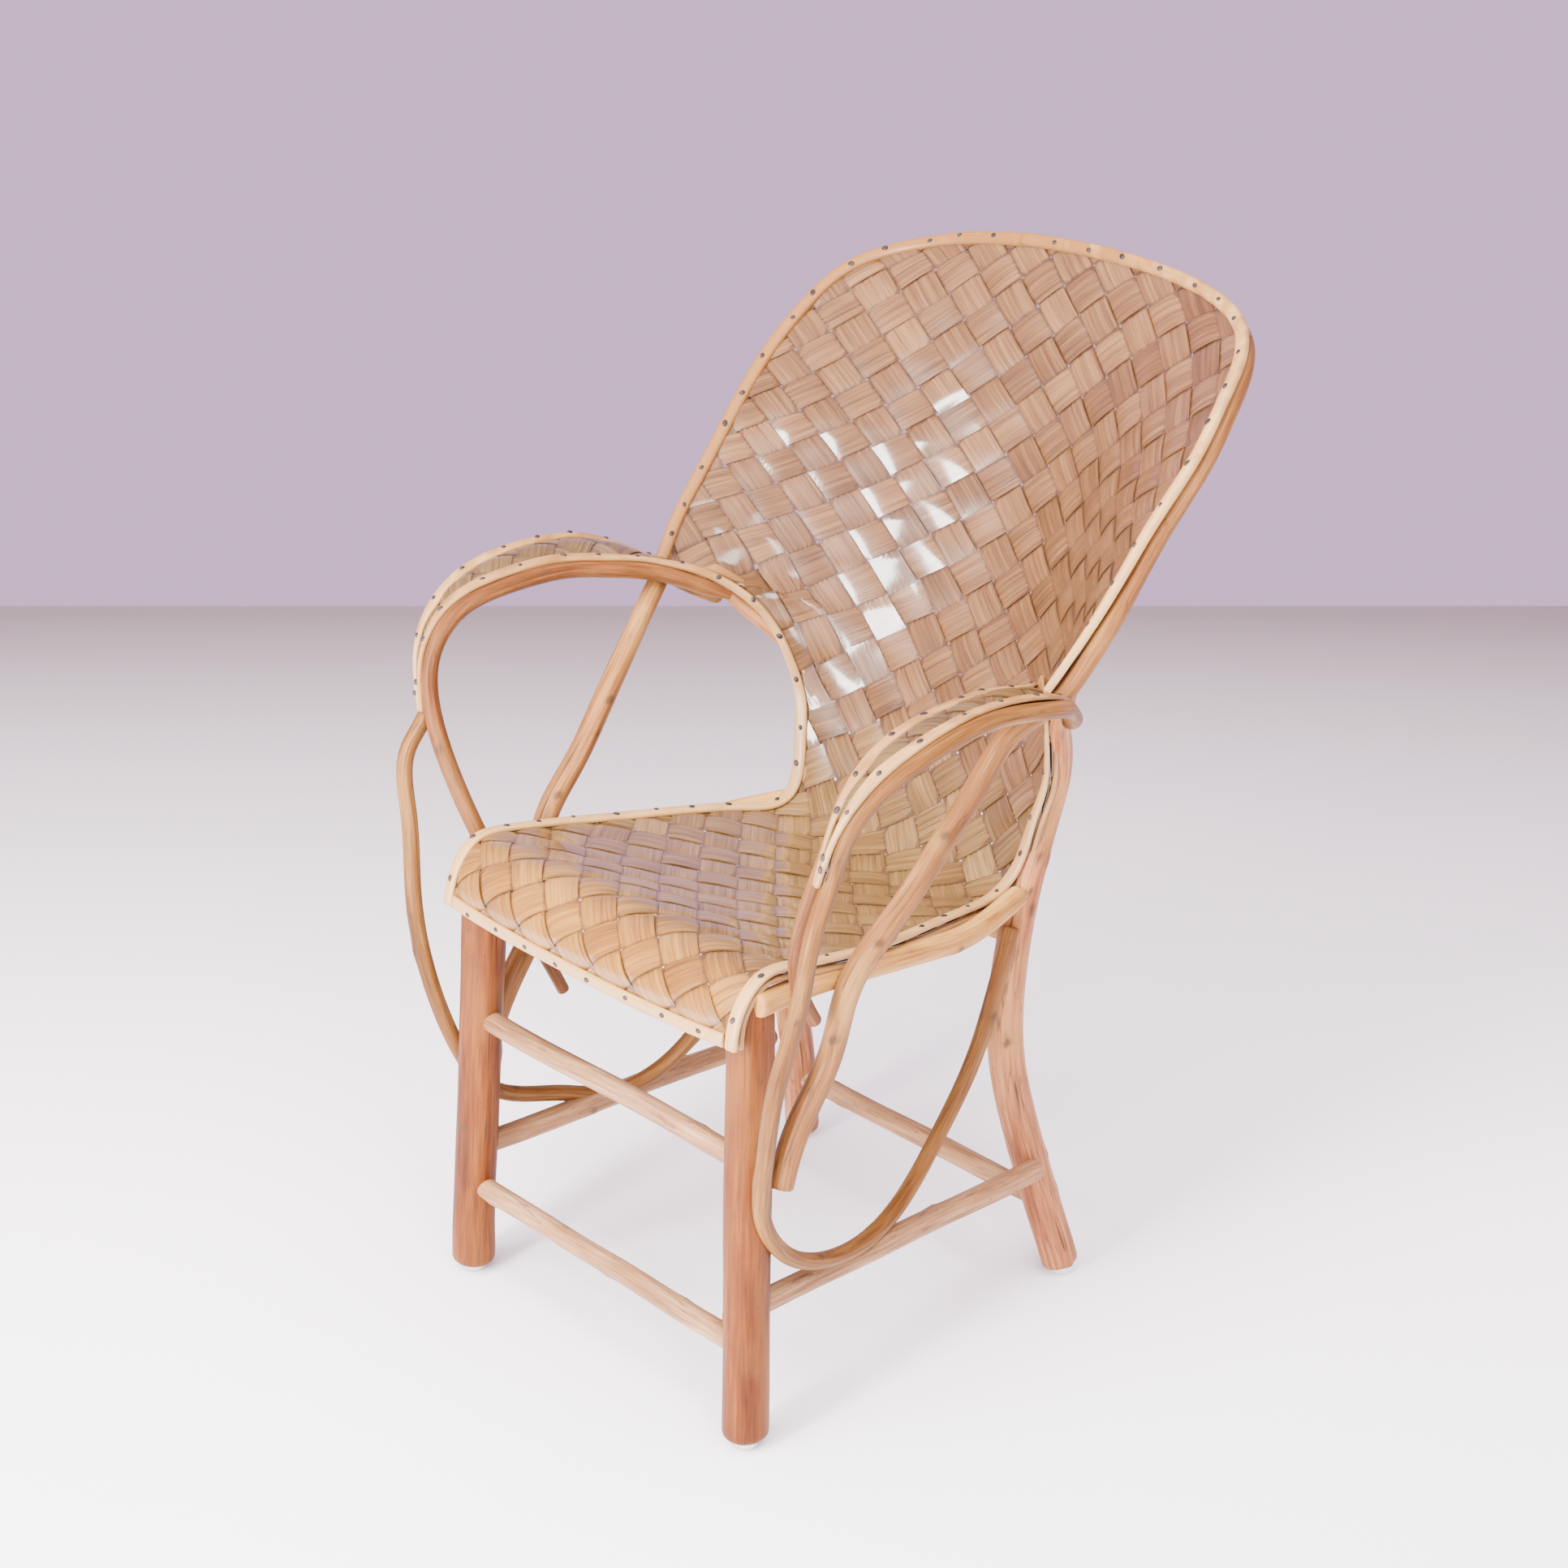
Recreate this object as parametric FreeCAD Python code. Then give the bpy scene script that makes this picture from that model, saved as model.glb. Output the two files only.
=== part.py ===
import FreeCAD, Part
import math
import os

# A rustic armchair of debarked poles, bent rods and woven chestnut splints.
# Lengths are millimetres, +Z is up, the chair faces -Y and is the same on both sides of X = 0.
# Places are given as (across, back, up): a share of the half width at that height, then a share of
# the depth marks (0 lip, 1 rear of the seat, 2 top of the back) and of the height marks
# (0 floor, 1 crest of the seat, 2 crest of the arms, 3 top of the back).

Vector = FreeCAD.Vector
FULL_TURN = 360

# Overall sizes
FOOT_SPREAD = 410.0
SEAT_WIDTH = 420.0
ARM_SPAN = 634.0
BACK_WIDTH = 566.0
SEAT_DEPTH = 377.0
BACK_RAKE = 245.0
SEAT_HEIGHT = 462.0
ARM_HEIGHT = 695.0
BACK_HEIGHT = 974.0

# Splints and rims
WEAVE_THICKNESS = 3.0
RIM_WIDTH = 14.0
RIM_THICKNESS = 4.5
ARM_CROWN = 7.0
SEAT_GAP = 0.3

# Poles and rods
FRONT_LEG_DIAMETER = 42.0
BACK_POLE_DIAMETER = 36.0
BACK_POLE_TIP_DIAMETER = 11.0
HOOP_POLE_DIAMETER = 23.0
HOOP_TIP_DIAMETER = 15.0
RAIL_DIAMETER = 22.0
SIDE_STRETCHER_DIAMETER = 22.0
FRONT_STRETCHER_DIAMETER = 21.0
REAR_STRETCHER_DIAMETER = 22.0
FRONT_CROSS_RAIL_DIAMETER = 28.0
REAR_CROSS_RAIL_DIAMETER = 26.0
OUTER_ROD_DIAMETER = 16.0
INNER_ROD_DIAMETER = 17.0
TENON_LENGTH = 16.0
BEND_SAG = 2.0
RIM_SAG = 0.5

# Glides
GLIDE_DIAMETER = 25.0
GLIDE_FLAT_DIAMETER = 9.0
GLIDE_HEIGHT = 9.0

HEIGHT_MARKS = (0.0, SEAT_HEIGHT, ARM_HEIGHT, BACK_HEIGHT)
HALF_WIDTH_MARKS = (FOOT_SPREAD / 2, SEAT_WIDTH / 2, ARM_SPAN / 2, BACK_WIDTH / 2)
DEPTH_MARKS = (0.0, SEAT_DEPTH, SEAT_DEPTH + BACK_RAKE)

# The woven sheet from the lip's lower edge, over the seat and up the back. Each row holds the side
# edge (across, back, up), the middle (back, up) and the section between them: its fullness (2 is a
# plain dish, more is flatter in the middle with steeper sides), its bell (towards 1 the wings turn
# outward) and its squareness (towards 1 the middle is flat with rounded corners).
SHEET_SHARES = (
    (1.000, 0.000, 0.863, -0.019, 0.857, 2.40, -0.20, 0.0),
    (0.997, 0.019, 0.931, -0.019, 0.926, 2.40, -0.20, 0.0),
    (0.997, 0.056, 0.974, 0.018, 0.964, 2.40, -0.20, 0.0),
    (0.999, 0.110, 0.999, 0.085, 1.004, 2.40, -0.20, 0.0),
    (1.002, 0.196, 0.994, 0.193, 1.000, 2.26, -0.20, 0.0),
    (1.003, 0.292, 0.982, 0.317, 0.969, 1.78, -0.17, 0.0),
    (0.972, 0.477, 0.959, 0.483, 0.934, 1.83, -0.14, 0.0),
    (0.897, 0.676, 0.940, 0.678, 0.905, 1.88, -0.11, 0.0),
    (0.806, 0.894, 0.916, 0.894, 0.881, 1.93, -0.08, 0.0),
    (0.752, 1.000, 0.909, 1.017, 0.889, 1.99, -0.05, 0.0),
    (0.760, 1.078, 0.948, 1.134, 0.931, 2.30, -0.09, 0.0),
    (0.749, 1.123, 1.102, 1.220, 1.034, 2.61, -0.12, 0.0),
    (0.717, 1.138, 1.320, 1.319, 1.278, 2.93, -0.15, 0.0),
    (0.698, 1.078, 1.524, 1.368, 1.397, 2.85, -0.14, 0.0),
    (0.715, 0.996, 1.664, 1.404, 1.482, 2.77, -0.13, 0.0),
    (0.746, 0.876, 1.817, 1.447, 1.571, 2.69, -0.12, 0.0),
    (0.864, 0.822, 1.867, 1.502, 1.664, 2.63, 0.07, 0.0),
    (0.851, 0.890, 2.007, 1.559, 1.790, 2.57, 0.26, 0.0),
    (0.880, 0.979, 2.142, 1.628, 1.974, 2.55, 0.43, 0.0),
    (0.919, 1.186, 2.368, 1.746, 2.250, 2.54, 0.60, 0.0),
    (0.950, 1.421, 2.580, 1.826, 2.528, 2.30, 0.30, 0.0),
    (0.934, 1.584, 2.717, 1.883, 2.720, 2.05, 0.01, 0.2),
    (0.904, 1.713, 2.796, 1.926, 2.854, 2.13, 0.00, 0.6),
    (0.867, 1.786, 2.833, 2.000, 3.000, 2.20, 0.00, 1.0),
)
# Rows of the table where the sheet's waist ends under the arm and where the hoop of the back begins
WAIST_TOP_ROW = 15
HOOP_ROW = 16
ACROSS_STEPS = 5
SQUARE_FULLNESS = 6

# The arm's upper rims from the rear to the tip: inner edge, then outer edge, and the strips' width
ARM_SHARES = (
    ((0.806, 0.772, 1.888), (0.948, 0.862, 1.837), 1.0),
    ((0.812, 0.663, 1.927), (1.010, 0.708, 1.956), 1.0),
    ((0.840, 0.543, 1.954), (1.002, 0.531, 1.998), 1.0),
    ((0.863, 0.398, 1.951), (1.011, 0.385, 1.981), 1.0),
    ((0.887, 0.286, 1.925), (1.023, 0.279, 1.933), 1.0),
    ((0.919, 0.203, 1.876), (1.030, 0.194, 1.858), 1.0),
    ((0.958, 0.138, 1.785), (1.042, 0.127, 1.747), 0.68),
    ((0.995, 0.103, 1.682), (1.054, 0.095, 1.635), 0.42),
    ((1.055, 0.080, 1.446), (1.084, 0.076, 1.442), 0.30),
)
OUTER_RIM_REAR_SHARES = (0.913, 0.902, 1.803)

# Free stretches of the rods and poles, before or after the stretch that follows a rim
OUTER_ROD_HOOK_SHARES = (
    (0.888, 0.973, 1.648),
    (0.922, 0.923, 1.712),
    (0.950, 0.870, 1.773),
)
OUTER_ROD_FRONT_SHARES = (
    (1.181, 0.057, 1.291),
    (1.314, 0.034, 1.009),
    (1.244, 0.007, 0.836),
    (1.153, 0.013, 0.650),
)
OUTER_ROD_LOOP_SHARES = (
    (1.044, 0.156, 0.392),
    (0.958, 0.477, 0.325),
    (0.879, 0.630, 0.360),
    (0.821, 0.756, 0.435),
    (0.813, 0.886, 0.580),
    (0.815, 0.955, 0.727),
)
INNER_ROD_REAR_SHARES = (0.731, 0.956, 1.696)
INNER_ROD_FRONT_SHARES = (
    (1.043, 0.114, 1.519),
    (1.058, 0.107, 1.285),
)
INNER_ROD_LEFT_END_SHARES = (0.977, 0.358, 0.576)
INNER_ROD_RIGHT_END_SHARES = (1.060, 0.215, 0.880)
BRACE_LOW_SHARES = (
    (1.011, 0.138, 0.541),
    (0.994, 0.186, 0.634),
    (1.015, 0.289, 0.781),
)
BRACE_HIGH_SHARES = (
    (1.034, 0.464, 1.108),
    (0.962, 0.573, 1.326),
    (0.901, 0.684, 1.549),
    (0.867, 0.793, 1.746),
)
BACK_POLE_SHARES = (
    (0.927, 1.269, 0.019, 1.00),
    (0.844, 1.188, 0.210, 1.00),
    (0.770, 1.049, 0.532, 0.97),
    (0.757, 1.047, 0.719, 0.94),
    (0.741, 1.170, 0.952, 0.84),
    (0.720, 1.222, 1.099, 0.72),
    (0.712, 1.214, 1.305, 0.60),
    (0.720, 1.162, 1.438, 0.55),
    (0.753, 1.073, 1.558, 0.52),
    (0.793, 0.997, 1.652, 0.50),
    (0.820, 0.958, 1.820, 0.45),
)
FRONT_LEG_SHARES = (
    (0.998, 0.036, 0.019),
    (0.901, 0.097, 0.931),
)
SIDE_RAIL_SHARES = (
    (0.992, 0.070, 0.940),
    (0.973, 0.305, 0.933),
    (0.954, 0.488, 0.916),
    (0.926, 0.663, 0.896),
    (0.893, 0.796, 0.885),
    (0.850, 0.907, 0.887),
    (0.793, 1.053, 0.892),
)
HOOP_START_SHARES = (1.0, 1.0, 0.99, 0.99, 0.97, 0.95, 0.91, 0.88)
HOOP_MIDDLE_SHARE = 0.82
HOOP_INSET_SHARE = 1.25
# Point of the hoop pole behind which the back pole's whittled tip ends
TIP_ROW = 9
LOWER_FRONT_STRETCHER_SHARE = 0.208
UPPER_FRONT_STRETCHER_SHARE = 0.600
FRONT_CROSS_RAIL_SHARE = 0.850
REAR_STRETCHER_SHARE = 0.180
REAR_CROSS_RAIL_SHARE = 0.800
SIDE_STRETCHER_FRONT_SHARE = 0.294
SIDE_STRETCHER_REAR_SHARE = 0.284
ROD_ON_LEG_SHARE = 0.520
ROD_ON_STRETCHER_SHARE = 0.353
ROD_TOP_SHARE = 0.835
INNER_ROD_ON_RAIL_SHARE = 0.40
HOOK_POLE_SHARE = 0.50
ARM_EDGE_SHARE = 0.25
GLIDE_DOME_SHARES = (0.86, 0.40)
ROUNDED_END_SHARES = (0.55, 0.45)

# Directions in which one round piece lies against another
TIP_BEHIND_HOOP = Vector(-0.45, 0.85, -0.2)
HOOP_BESIDE_RAIL = Vector(1, 0.1, 0.1)
STRETCHER_BESIDE_POLE = Vector(1, -0.9, 0)
ROD_BESIDE_LEG = Vector(1, -0.3, 0)
ROD_OVER_STRETCHER = Vector(0.55, 0, 1)
ROD_BEFORE_POLE = Vector(0.5, -1, 0)
ROD_BESIDE_RAIL = Vector(1, 0, 0.3)


def at_marks(share, marks):
    """Return the length at a share of a list of marks, straight between marks and past the ends."""
    step = min(max(math.floor(share), 0), len(marks) - 2)
    return marks[step] + (share - step) * (marks[step + 1] - marks[step])


def place(across, back, up):
    """Return the point at a share of the half width, of the depth marks and of the height marks."""
    return Vector(
        across * at_marks(up, HALF_WIDTH_MARKS),
        at_marks(back, DEPTH_MARKS),
        at_marks(up, HEIGHT_MARKS),
    )


def unit(vector):
    """Return the vector's direction, one unit long."""
    return Vector(vector).normalize() if vector.Length else vector


def mirrored(shape):
    """Return the same shape on the other side of the chair."""
    return shape.mirror(Vector(0, 0, 0), Vector(1, 0, 0))


def mirrored_point(point):
    """Return the same point on the other side of the chair."""
    return Vector(-point.x, point.y, point.z)


def directions(points):
    """Return the unit direction of travel at each point of a route."""
    last = len(points) - 1
    return [
        unit(points[min(index + 1, last)] - points[max(index - 1, 0)])
        for index in range(len(points))
    ]


def between(step, steps, values):
    """Return the value at a step, straight between the values at the known steps."""
    for index in range(len(steps) - 2):
        if step <= steps[index + 1]:
            break
    share = (step - steps[index]) / (steps[index + 1] - steps[index])
    return values[index] + share * (values[index + 1] - values[index])


def along(points, up):
    """Return the point of a rising route at a height, straight between its points."""
    pairs = list(zip(points, points[1:]))
    for low, high in pairs:
        if low.z <= up <= high.z:
            return low + (high - low) * ((up - low.z) / (high.z - low.z))
    low, high = pairs[0] if up < points[0].z else pairs[-1]
    return low + (high - low) * ((up - low.z) / (high.z - low.z))


def solid_from(faces):
    """Return the closed solid that the faces bound."""
    shell = Part.Shell(faces)
    if not shell.isClosed():
        shell.sewShape()
    solid = Part.Solid(Part.Shell(shell.Faces))
    if solid.Volume < 0:
        solid.reverse()
    return solid


def facet_pair(first, second, third, fourth):
    """Return the two flat faces of a cell, split along its shorter diagonal."""
    if (third - first).Length > (fourth - second).Length:
        first, second, third, fourth = second, third, fourth, first
    return [
        Part.Face(Part.makePolygon(corners + corners[:1]))
        for corners in ([first, second, third], [first, third, fourth])
    ]


def tube_faces(routes):
    """Return the faces of a bar whose long edges run along routes in order round its section."""
    faces = []
    for route, beside_it in zip(routes, routes[1:] + routes[:1]):
        for index in range(len(route) - 1):
            faces += facet_pair(route[index], beside_it[index], beside_it[index + 1], route[index + 1])
    return faces


def curve_steps(points):
    """Return the running length at each point of a route."""
    steps = [0.0]
    for before, after in zip(points, points[1:]):
        steps.append(steps[-1] + (after - before).Length)
    return steps


def smooth_curve(points, steps):
    """Return a smooth curve that reaches each point at its step."""
    curve = Part.BSplineCurve()
    curve.interpolate(Points=points, Parameters=steps)
    return curve


def refined(routes):
    """Return the routes with more points, so that each follows its smooth curve closely."""
    steps = curve_steps(routes[0])
    curves = [smooth_curve(route, steps) for route in routes]
    spots = curves[0].toShape().discretize(Deflection=RIM_SAG)
    closer = [curves[0].parameter(spot) for spot in spots]
    return [[curve.value(step) for step in closer] for curve in curves]


def bar(corner_routes):
    """Return a solid bar whose four long corners follow four routes in order round the section."""
    routes = refined(corner_routes)
    faces = tube_faces(routes)
    for end in (0, -1):
        faces += facet_pair(*[route[end] for route in routes])
    return solid_from(faces)


def pole(points, diameters):
    """Return a round pole, naturally bent and tapered, through the points with their diameters."""
    steps = curve_steps(points)
    curve = smooth_curve(points, steps)
    sections = []
    side = Vector(1, 0, 0)
    for spot in curve.toShape().discretize(Deflection=BEND_SAG):
        step = curve.parameter(spot)
        direction = curve.tangent(step)[0]
        side = unit(side - direction * side.dot(direction))
        turn = FreeCAD.Rotation(side, direction.cross(side), direction, "ZXY")
        circle = Part.makeCircle(between(step, steps, diameters) / 2)
        circle.Placement = FreeCAD.Placement(spot, turn)
        sections.append(Part.Wire([circle]))
    return Part.makeLoft(sections, True, True)


def rod(points, diameter):
    """Return a bent round rod of one diameter through the points."""
    return pole(points, [diameter] * len(points))


def straight_pole(start, end, diameter):
    """Return a straight round pole from one point to another."""
    return Part.makeCylinder(diameter / 2, (end - start).Length, start, end - start)


def section_shares(across, fullness, bell, square):
    """Return how far a point of a row lies from its side edge to its middle, in depth and in height."""
    dish = 1 - abs(across) ** fullness
    wings = (1 + math.cos(math.pi * across)) / 2
    full = dish + bell * (wings - dish)
    depth = full + square * (1 - abs(across) ** SQUARE_FULLNESS - full)
    rise = full + square * (1 - across ** 2 - full)
    return depth, rise


def sheet_grid():
    """Return rows of points on the visible face of the seat and back, from the left to the right."""
    grid = []
    for across_share, back_share, up_share, mid_back, mid_up, fullness, bell, square in SHEET_SHARES:
        edge = place(across_share, back_share, up_share)
        middle = place(0, mid_back, mid_up)
        row = []
        for step in range(-ACROSS_STEPS, ACROSS_STEPS + 1):
            across = step / ACROSS_STEPS
            depth, rise = section_shares(across, fullness, bell, square)
            row.append(Vector(
                across * edge.x,
                edge.y + depth * (middle.y - edge.y),
                edge.z + rise * (middle.z - edge.z),
            ))
        grid.append(row)
    return grid


def grid_normals(grid):
    """Return the direction out of the visible face at each grid point, averaged over its cells."""
    rows = len(grid)
    columns = len(grid[0])
    cells = [
        [
            unit((grid[row + 1][column + 1] - grid[row][column]).cross(
                grid[row + 1][column] - grid[row][column + 1]
            ))
            for column in range(columns - 1)
        ]
        for row in range(rows - 1)
    ]
    normals = []
    for row in range(rows):
        line = []
        for column in range(columns):
            total = Vector(0, 0, 0)
            for cell_row in (row - 1, row):
                for cell_column in (column - 1, column):
                    if 0 <= cell_row < rows - 1 and 0 <= cell_column < columns - 1:
                        total = total + cells[cell_row][cell_column]
            line.append(unit(total))
        normals.append(line)
    return normals


def skin(grid, normals, top, bottom):
    """Return the closed skin between two depths below the visible face of a grid of points."""
    upper, lower = [
        [[point - normal * depth for point, normal in zip(*row)] for row in zip(grid, normals)]
        for depth in (top, bottom)
    ]
    rings = [above + below[::-1] for above, below in zip(upper, lower)]
    faces = tube_faces([list(route) for route in zip(*rings)])
    for above, below in ((upper[0], lower[0]), (upper[-1], lower[-1])):
        for index in range(len(above) - 1):
            faces += facet_pair(above[index], above[index + 1], below[index + 1], below[index])
    return solid_from(faces)


def band(left, right, normals, top):
    """Return a rim strip between two edges on the visible face, its upper face at a depth."""
    bottom = top + RIM_THICKNESS
    routes = []
    for edge, depth in ((left, top), (right, top), (right, bottom), (left, bottom)):
        routes.append([point - normal * depth for point, normal in zip(edge, normals)])
    return bar(routes)


def strip(points, normals, inward, top):
    """Return a rim strip inside an edge on the visible face, its upper face at a depth."""
    inner = [point + into * RIM_WIDTH for point, into in zip(points, inward)]
    return band(points, inner, normals, top)


def inward_directions(points, normals, side):
    """Return the directions across an edge, in the face, turned to one side of the travel."""
    return [
        unit(normal.cross(direction) * side)
        for normal, direction in zip(normals, directions(points))
    ]


# Depths below the visible face: sheet under the upper strip, then the lower strip under the sheet
SHEET_TOP = RIM_THICKNESS + SEAT_GAP
SHEET_BOTTOM = SHEET_TOP + WEAVE_THICKNESS
LOWER_RIM_TOP = SHEET_BOTTOM + SEAT_GAP

GRID = sheet_grid()
NORMALS = grid_normals(GRID)
TOP_ROW = len(GRID) - 1
RIGHT = 2 * ACROSS_STEPS


def side_edge():
    """Return the right edge of the seat and waist with its normals, lip corner to arm."""
    rows = range(WAIST_TOP_ROW + 1)
    return [GRID[row][RIGHT] for row in rows], [NORMALS[row][RIGHT] for row in rows]


def half_hoop_edge():
    """Return the right half of the back's edge with its normals, from the arm to the top's middle."""
    nodes = [(row, RIGHT) for row in range(HOOP_ROW, TOP_ROW + 1)]
    nodes += [(TOP_ROW, column) for column in range(RIGHT - 1, ACROSS_STEPS - 1, -1)]
    return [GRID[row][column] for row, column in nodes], [NORMALS[row][column] for row, column in nodes]


def hoop_edge():
    """Return the whole edge of the back with its normals, from the right arm to the left arm."""
    points, normals = half_hoop_edge()
    points = points + [mirrored_point(point) for point in reversed(points[:-1])]
    normals = normals + [mirrored_point(normal) for normal in reversed(normals[:-1])]
    return points, normals


def arm_edges():
    """Return the arm's inner and outer upper edges."""
    return [place(*row[0]) for row in ARM_SHARES], [place(*row[1]) for row in ARM_SHARES]


def arm_frames():
    """Return at each row of the arm the direction from inner to outer edge and the one out of it."""
    inner, outer = arm_edges()
    middles = [(first + second) / 2 for first, second in zip(inner, outer)]
    across = [unit(second - first) for first, second in zip(inner, outer)]
    normals = [unit(sideways.cross(travel)) * -1 for sideways, travel in zip(across, directions(middles))]
    return across, normals


def woven_sheet():
    """Return the seat and back, one woven sheet."""
    return skin(GRID, NORMALS, SHEET_TOP, SHEET_BOTTOM)


def woven_arm():
    """Return the right arm's woven strip, crowned between the two rods that carry its edges."""
    inner, outer = arm_edges()
    across, normals = arm_frames()
    widest = max((second - first).Length for first, second in zip(inner, outer))
    rows = []
    for first, second, sideways, normal in zip(inner, outer, across, normals):
        width = (second - first).Length
        start = first + sideways * min(INNER_ROD_DIAMETER / 2 + SEAT_GAP, width * ARM_EDGE_SHARE)
        end = second - sideways * min(OUTER_ROD_DIAMETER / 2 + SEAT_GAP, width * ARM_EDGE_SHARE)
        crown = normal * (ARM_CROWN * width / widest)
        rows.append([start, (start + end) / 2 + crown, end, normal])
    *columns, normals = refined([list(route) for route in zip(*rows)])
    rows = [list(row) for row in zip(*columns)]
    row_normals = [[unit(normal)] * len(row) for normal, row in zip(normals, rows)]
    return skin(rows, row_normals, SHEET_TOP, SHEET_BOTTOM)


def side_strip(top):
    """Return a side rim strip of the seat and waist with its upper face at a depth."""
    points, normals = side_edge()
    return strip(points, normals, inward_directions(points, normals, 1), top)


def arm_strip(edge, rear, side):
    """Return an upper rim strip of the arm from a rear point along one edge to the tip.

    side is 1 for the inner edge, whose strip lies towards the outer one, and -1 for the outer edge.
    """
    across, normals = arm_frames()
    widths = [1.0] + [row[2] for row in ARM_SHARES]
    across = [across[0]] + across
    points = [rear] + edge
    second = [
        point + into * (RIM_WIDTH * share * side)
        for point, into, share in zip(points, across, widths)
    ]
    return band(points, second, [normals[0]] + normals, 0)


def back_rim():
    """Return the rim strip round the front of the back, nailed through the sheet to the hoop poles."""
    points, normals = hoop_edge()
    return strip(points, normals, inward_directions(points, normals, 1), 0)


def lip_strip(top):
    """Return a rim strip along the front edge of the seat, between the two side strips."""
    columns = range(1, RIGHT)
    points = [GRID[0][column] for column in columns]
    normals = [NORMALS[0][column] for column in columns]
    return strip(points, normals, inward_directions(points, normals, 1), top)


def under_rim(points, normals, diameter):
    """Return the centres of a rod that lies just under an upper rim strip."""
    drop = RIM_THICKNESS + SEAT_GAP + diameter / 2
    return [point - normal * drop for point, normal in zip(points, normals)]


def beside(centre, direction, first_diameter, second_diameter):
    """Return the centre of a round piece laid against another, in a direction from its centre."""
    return centre + unit(direction) * ((first_diameter + second_diameter) / 2 + SEAT_GAP)


def on_glide(points):
    """Return a leg's centres with the lowest one on top of its glide."""
    foot = points[0]
    return [Vector(foot.x, foot.y, GLIDE_HEIGHT)] + points[1:]


def front_leg_route():
    """Return the centres of the right front leg, glide to top."""
    return on_glide([place(*row) for row in FRONT_LEG_SHARES])


def back_pole_route():
    """Return the centres and diameters of the right back pole, glide to whittled tip."""
    points = on_glide([place(*row[:3]) for row in BACK_POLE_SHARES])
    diameters = [BACK_POLE_DIAMETER * row[3] for row in BACK_POLE_SHARES]
    hoop_points, hoop_diameters = hoop_route()
    points.append(beside(
        hoop_points[TIP_ROW],
        TIP_BEHIND_HOOP,
        hoop_diameters[TIP_ROW],
        BACK_POLE_TIP_DIAMETER,
    ))
    diameters.append(BACK_POLE_TIP_DIAMETER)
    return points, diameters


def side_rail_route():
    """Return the centres of the right side rail, front to its rear end on the back pole."""
    route = [place(*row) for row in SIDE_RAIL_SHARES]
    pole_there = along(back_pole_route()[0], route[-1].z)
    return route[:-1] + [beside(pole_there, route[-2] - pole_there, BACK_POLE_DIAMETER, SEAT_GAP)]


def hoop_route():
    """Return the centres and diameters of the right hoop pole, low end to the top's middle."""
    rail = place(*SIDE_RAIL_SHARES[1])
    low = [place(*row) for row in BRACE_LOW_SHARES]
    elbow = beside(rail, HOOP_BESIDE_RAIL, RAIL_DIAMETER, HOOP_POLE_DIAMETER)
    high = [place(*row) for row in BRACE_HIGH_SHARES]
    points, normals = half_hoop_edge()
    inward = inward_directions(points, normals, 1)
    behind = []
    diameters = [HOOP_POLE_DIAMETER * share for share in HOOP_START_SHARES]
    for index, (point, normal, into) in enumerate(zip(points, normals, inward)):
        progress = index / (len(points) - 1)
        diameter = HOOP_POLE_DIAMETER * HOOP_MIDDLE_SHARE
        diameter += (HOOP_TIP_DIAMETER - diameter) * progress
        depth = SHEET_BOTTOM + SEAT_GAP + diameter / 2
        behind.append(point - normal * depth + into * (diameter / 2 * HOOP_INSET_SHARE))
        diameters.append(diameter)
    return low + [elbow] + high + behind, diameters


def side_stretcher_route():
    """Return the front and rear centres of the right side stretcher, on the leg and the back pole."""
    leg = along(front_leg_route(), SIDE_STRETCHER_FRONT_SHARE * SEAT_HEIGHT)
    back = along(back_pole_route()[0], SIDE_STRETCHER_REAR_SHARE * SEAT_HEIGHT)
    return leg, beside(back, STRETCHER_BESIDE_POLE, BACK_POLE_DIAMETER, SIDE_STRETCHER_DIAMETER)


def outer_rod_route():
    """Return the centres of the right outer rod, hooked end to the top of its loop."""
    _, outer = arm_edges()
    _, normals = arm_frames()
    hook = [place(*row) for row in OUTER_ROD_HOOK_SHARES]
    pole_there = along(back_pole_route()[0], hook[0].z)
    hook_end = beside(pole_there, hook[0] - pole_there, BACK_POLE_DIAMETER * HOOK_POLE_SHARE, OUTER_ROD_DIAMETER)
    arm = under_rim(outer, normals, OUTER_ROD_DIAMETER)
    front = [place(*row) for row in OUTER_ROD_FRONT_SHARES]
    leg = along(front_leg_route(), ROD_ON_LEG_SHARE * SEAT_HEIGHT)
    on_leg = beside(leg, ROD_BESIDE_LEG, FRONT_LEG_DIAMETER, OUTER_ROD_DIAMETER)
    loop = [place(*row) for row in OUTER_ROD_LOOP_SHARES]
    stretcher_front, stretcher_rear = side_stretcher_route()
    reach = ROD_ON_STRETCHER_SHARE * SEAT_DEPTH - stretcher_front.y
    on_stretcher = stretcher_front + (stretcher_rear - stretcher_front) * (
        reach / (stretcher_rear.y - stretcher_front.y)
    )
    rest = beside(on_stretcher, ROD_OVER_STRETCHER, SIDE_STRETCHER_DIAMETER, OUTER_ROD_DIAMETER)
    top = along(back_pole_route()[0], ROD_TOP_SHARE * SEAT_HEIGHT)
    end = beside(top, ROD_BEFORE_POLE, BACK_POLE_DIAMETER, OUTER_ROD_DIAMETER)
    return [hook_end] + hook[1:] + arm[1:] + front + [on_leg, loop[0], rest] + loop[1:] + [end]


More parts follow.
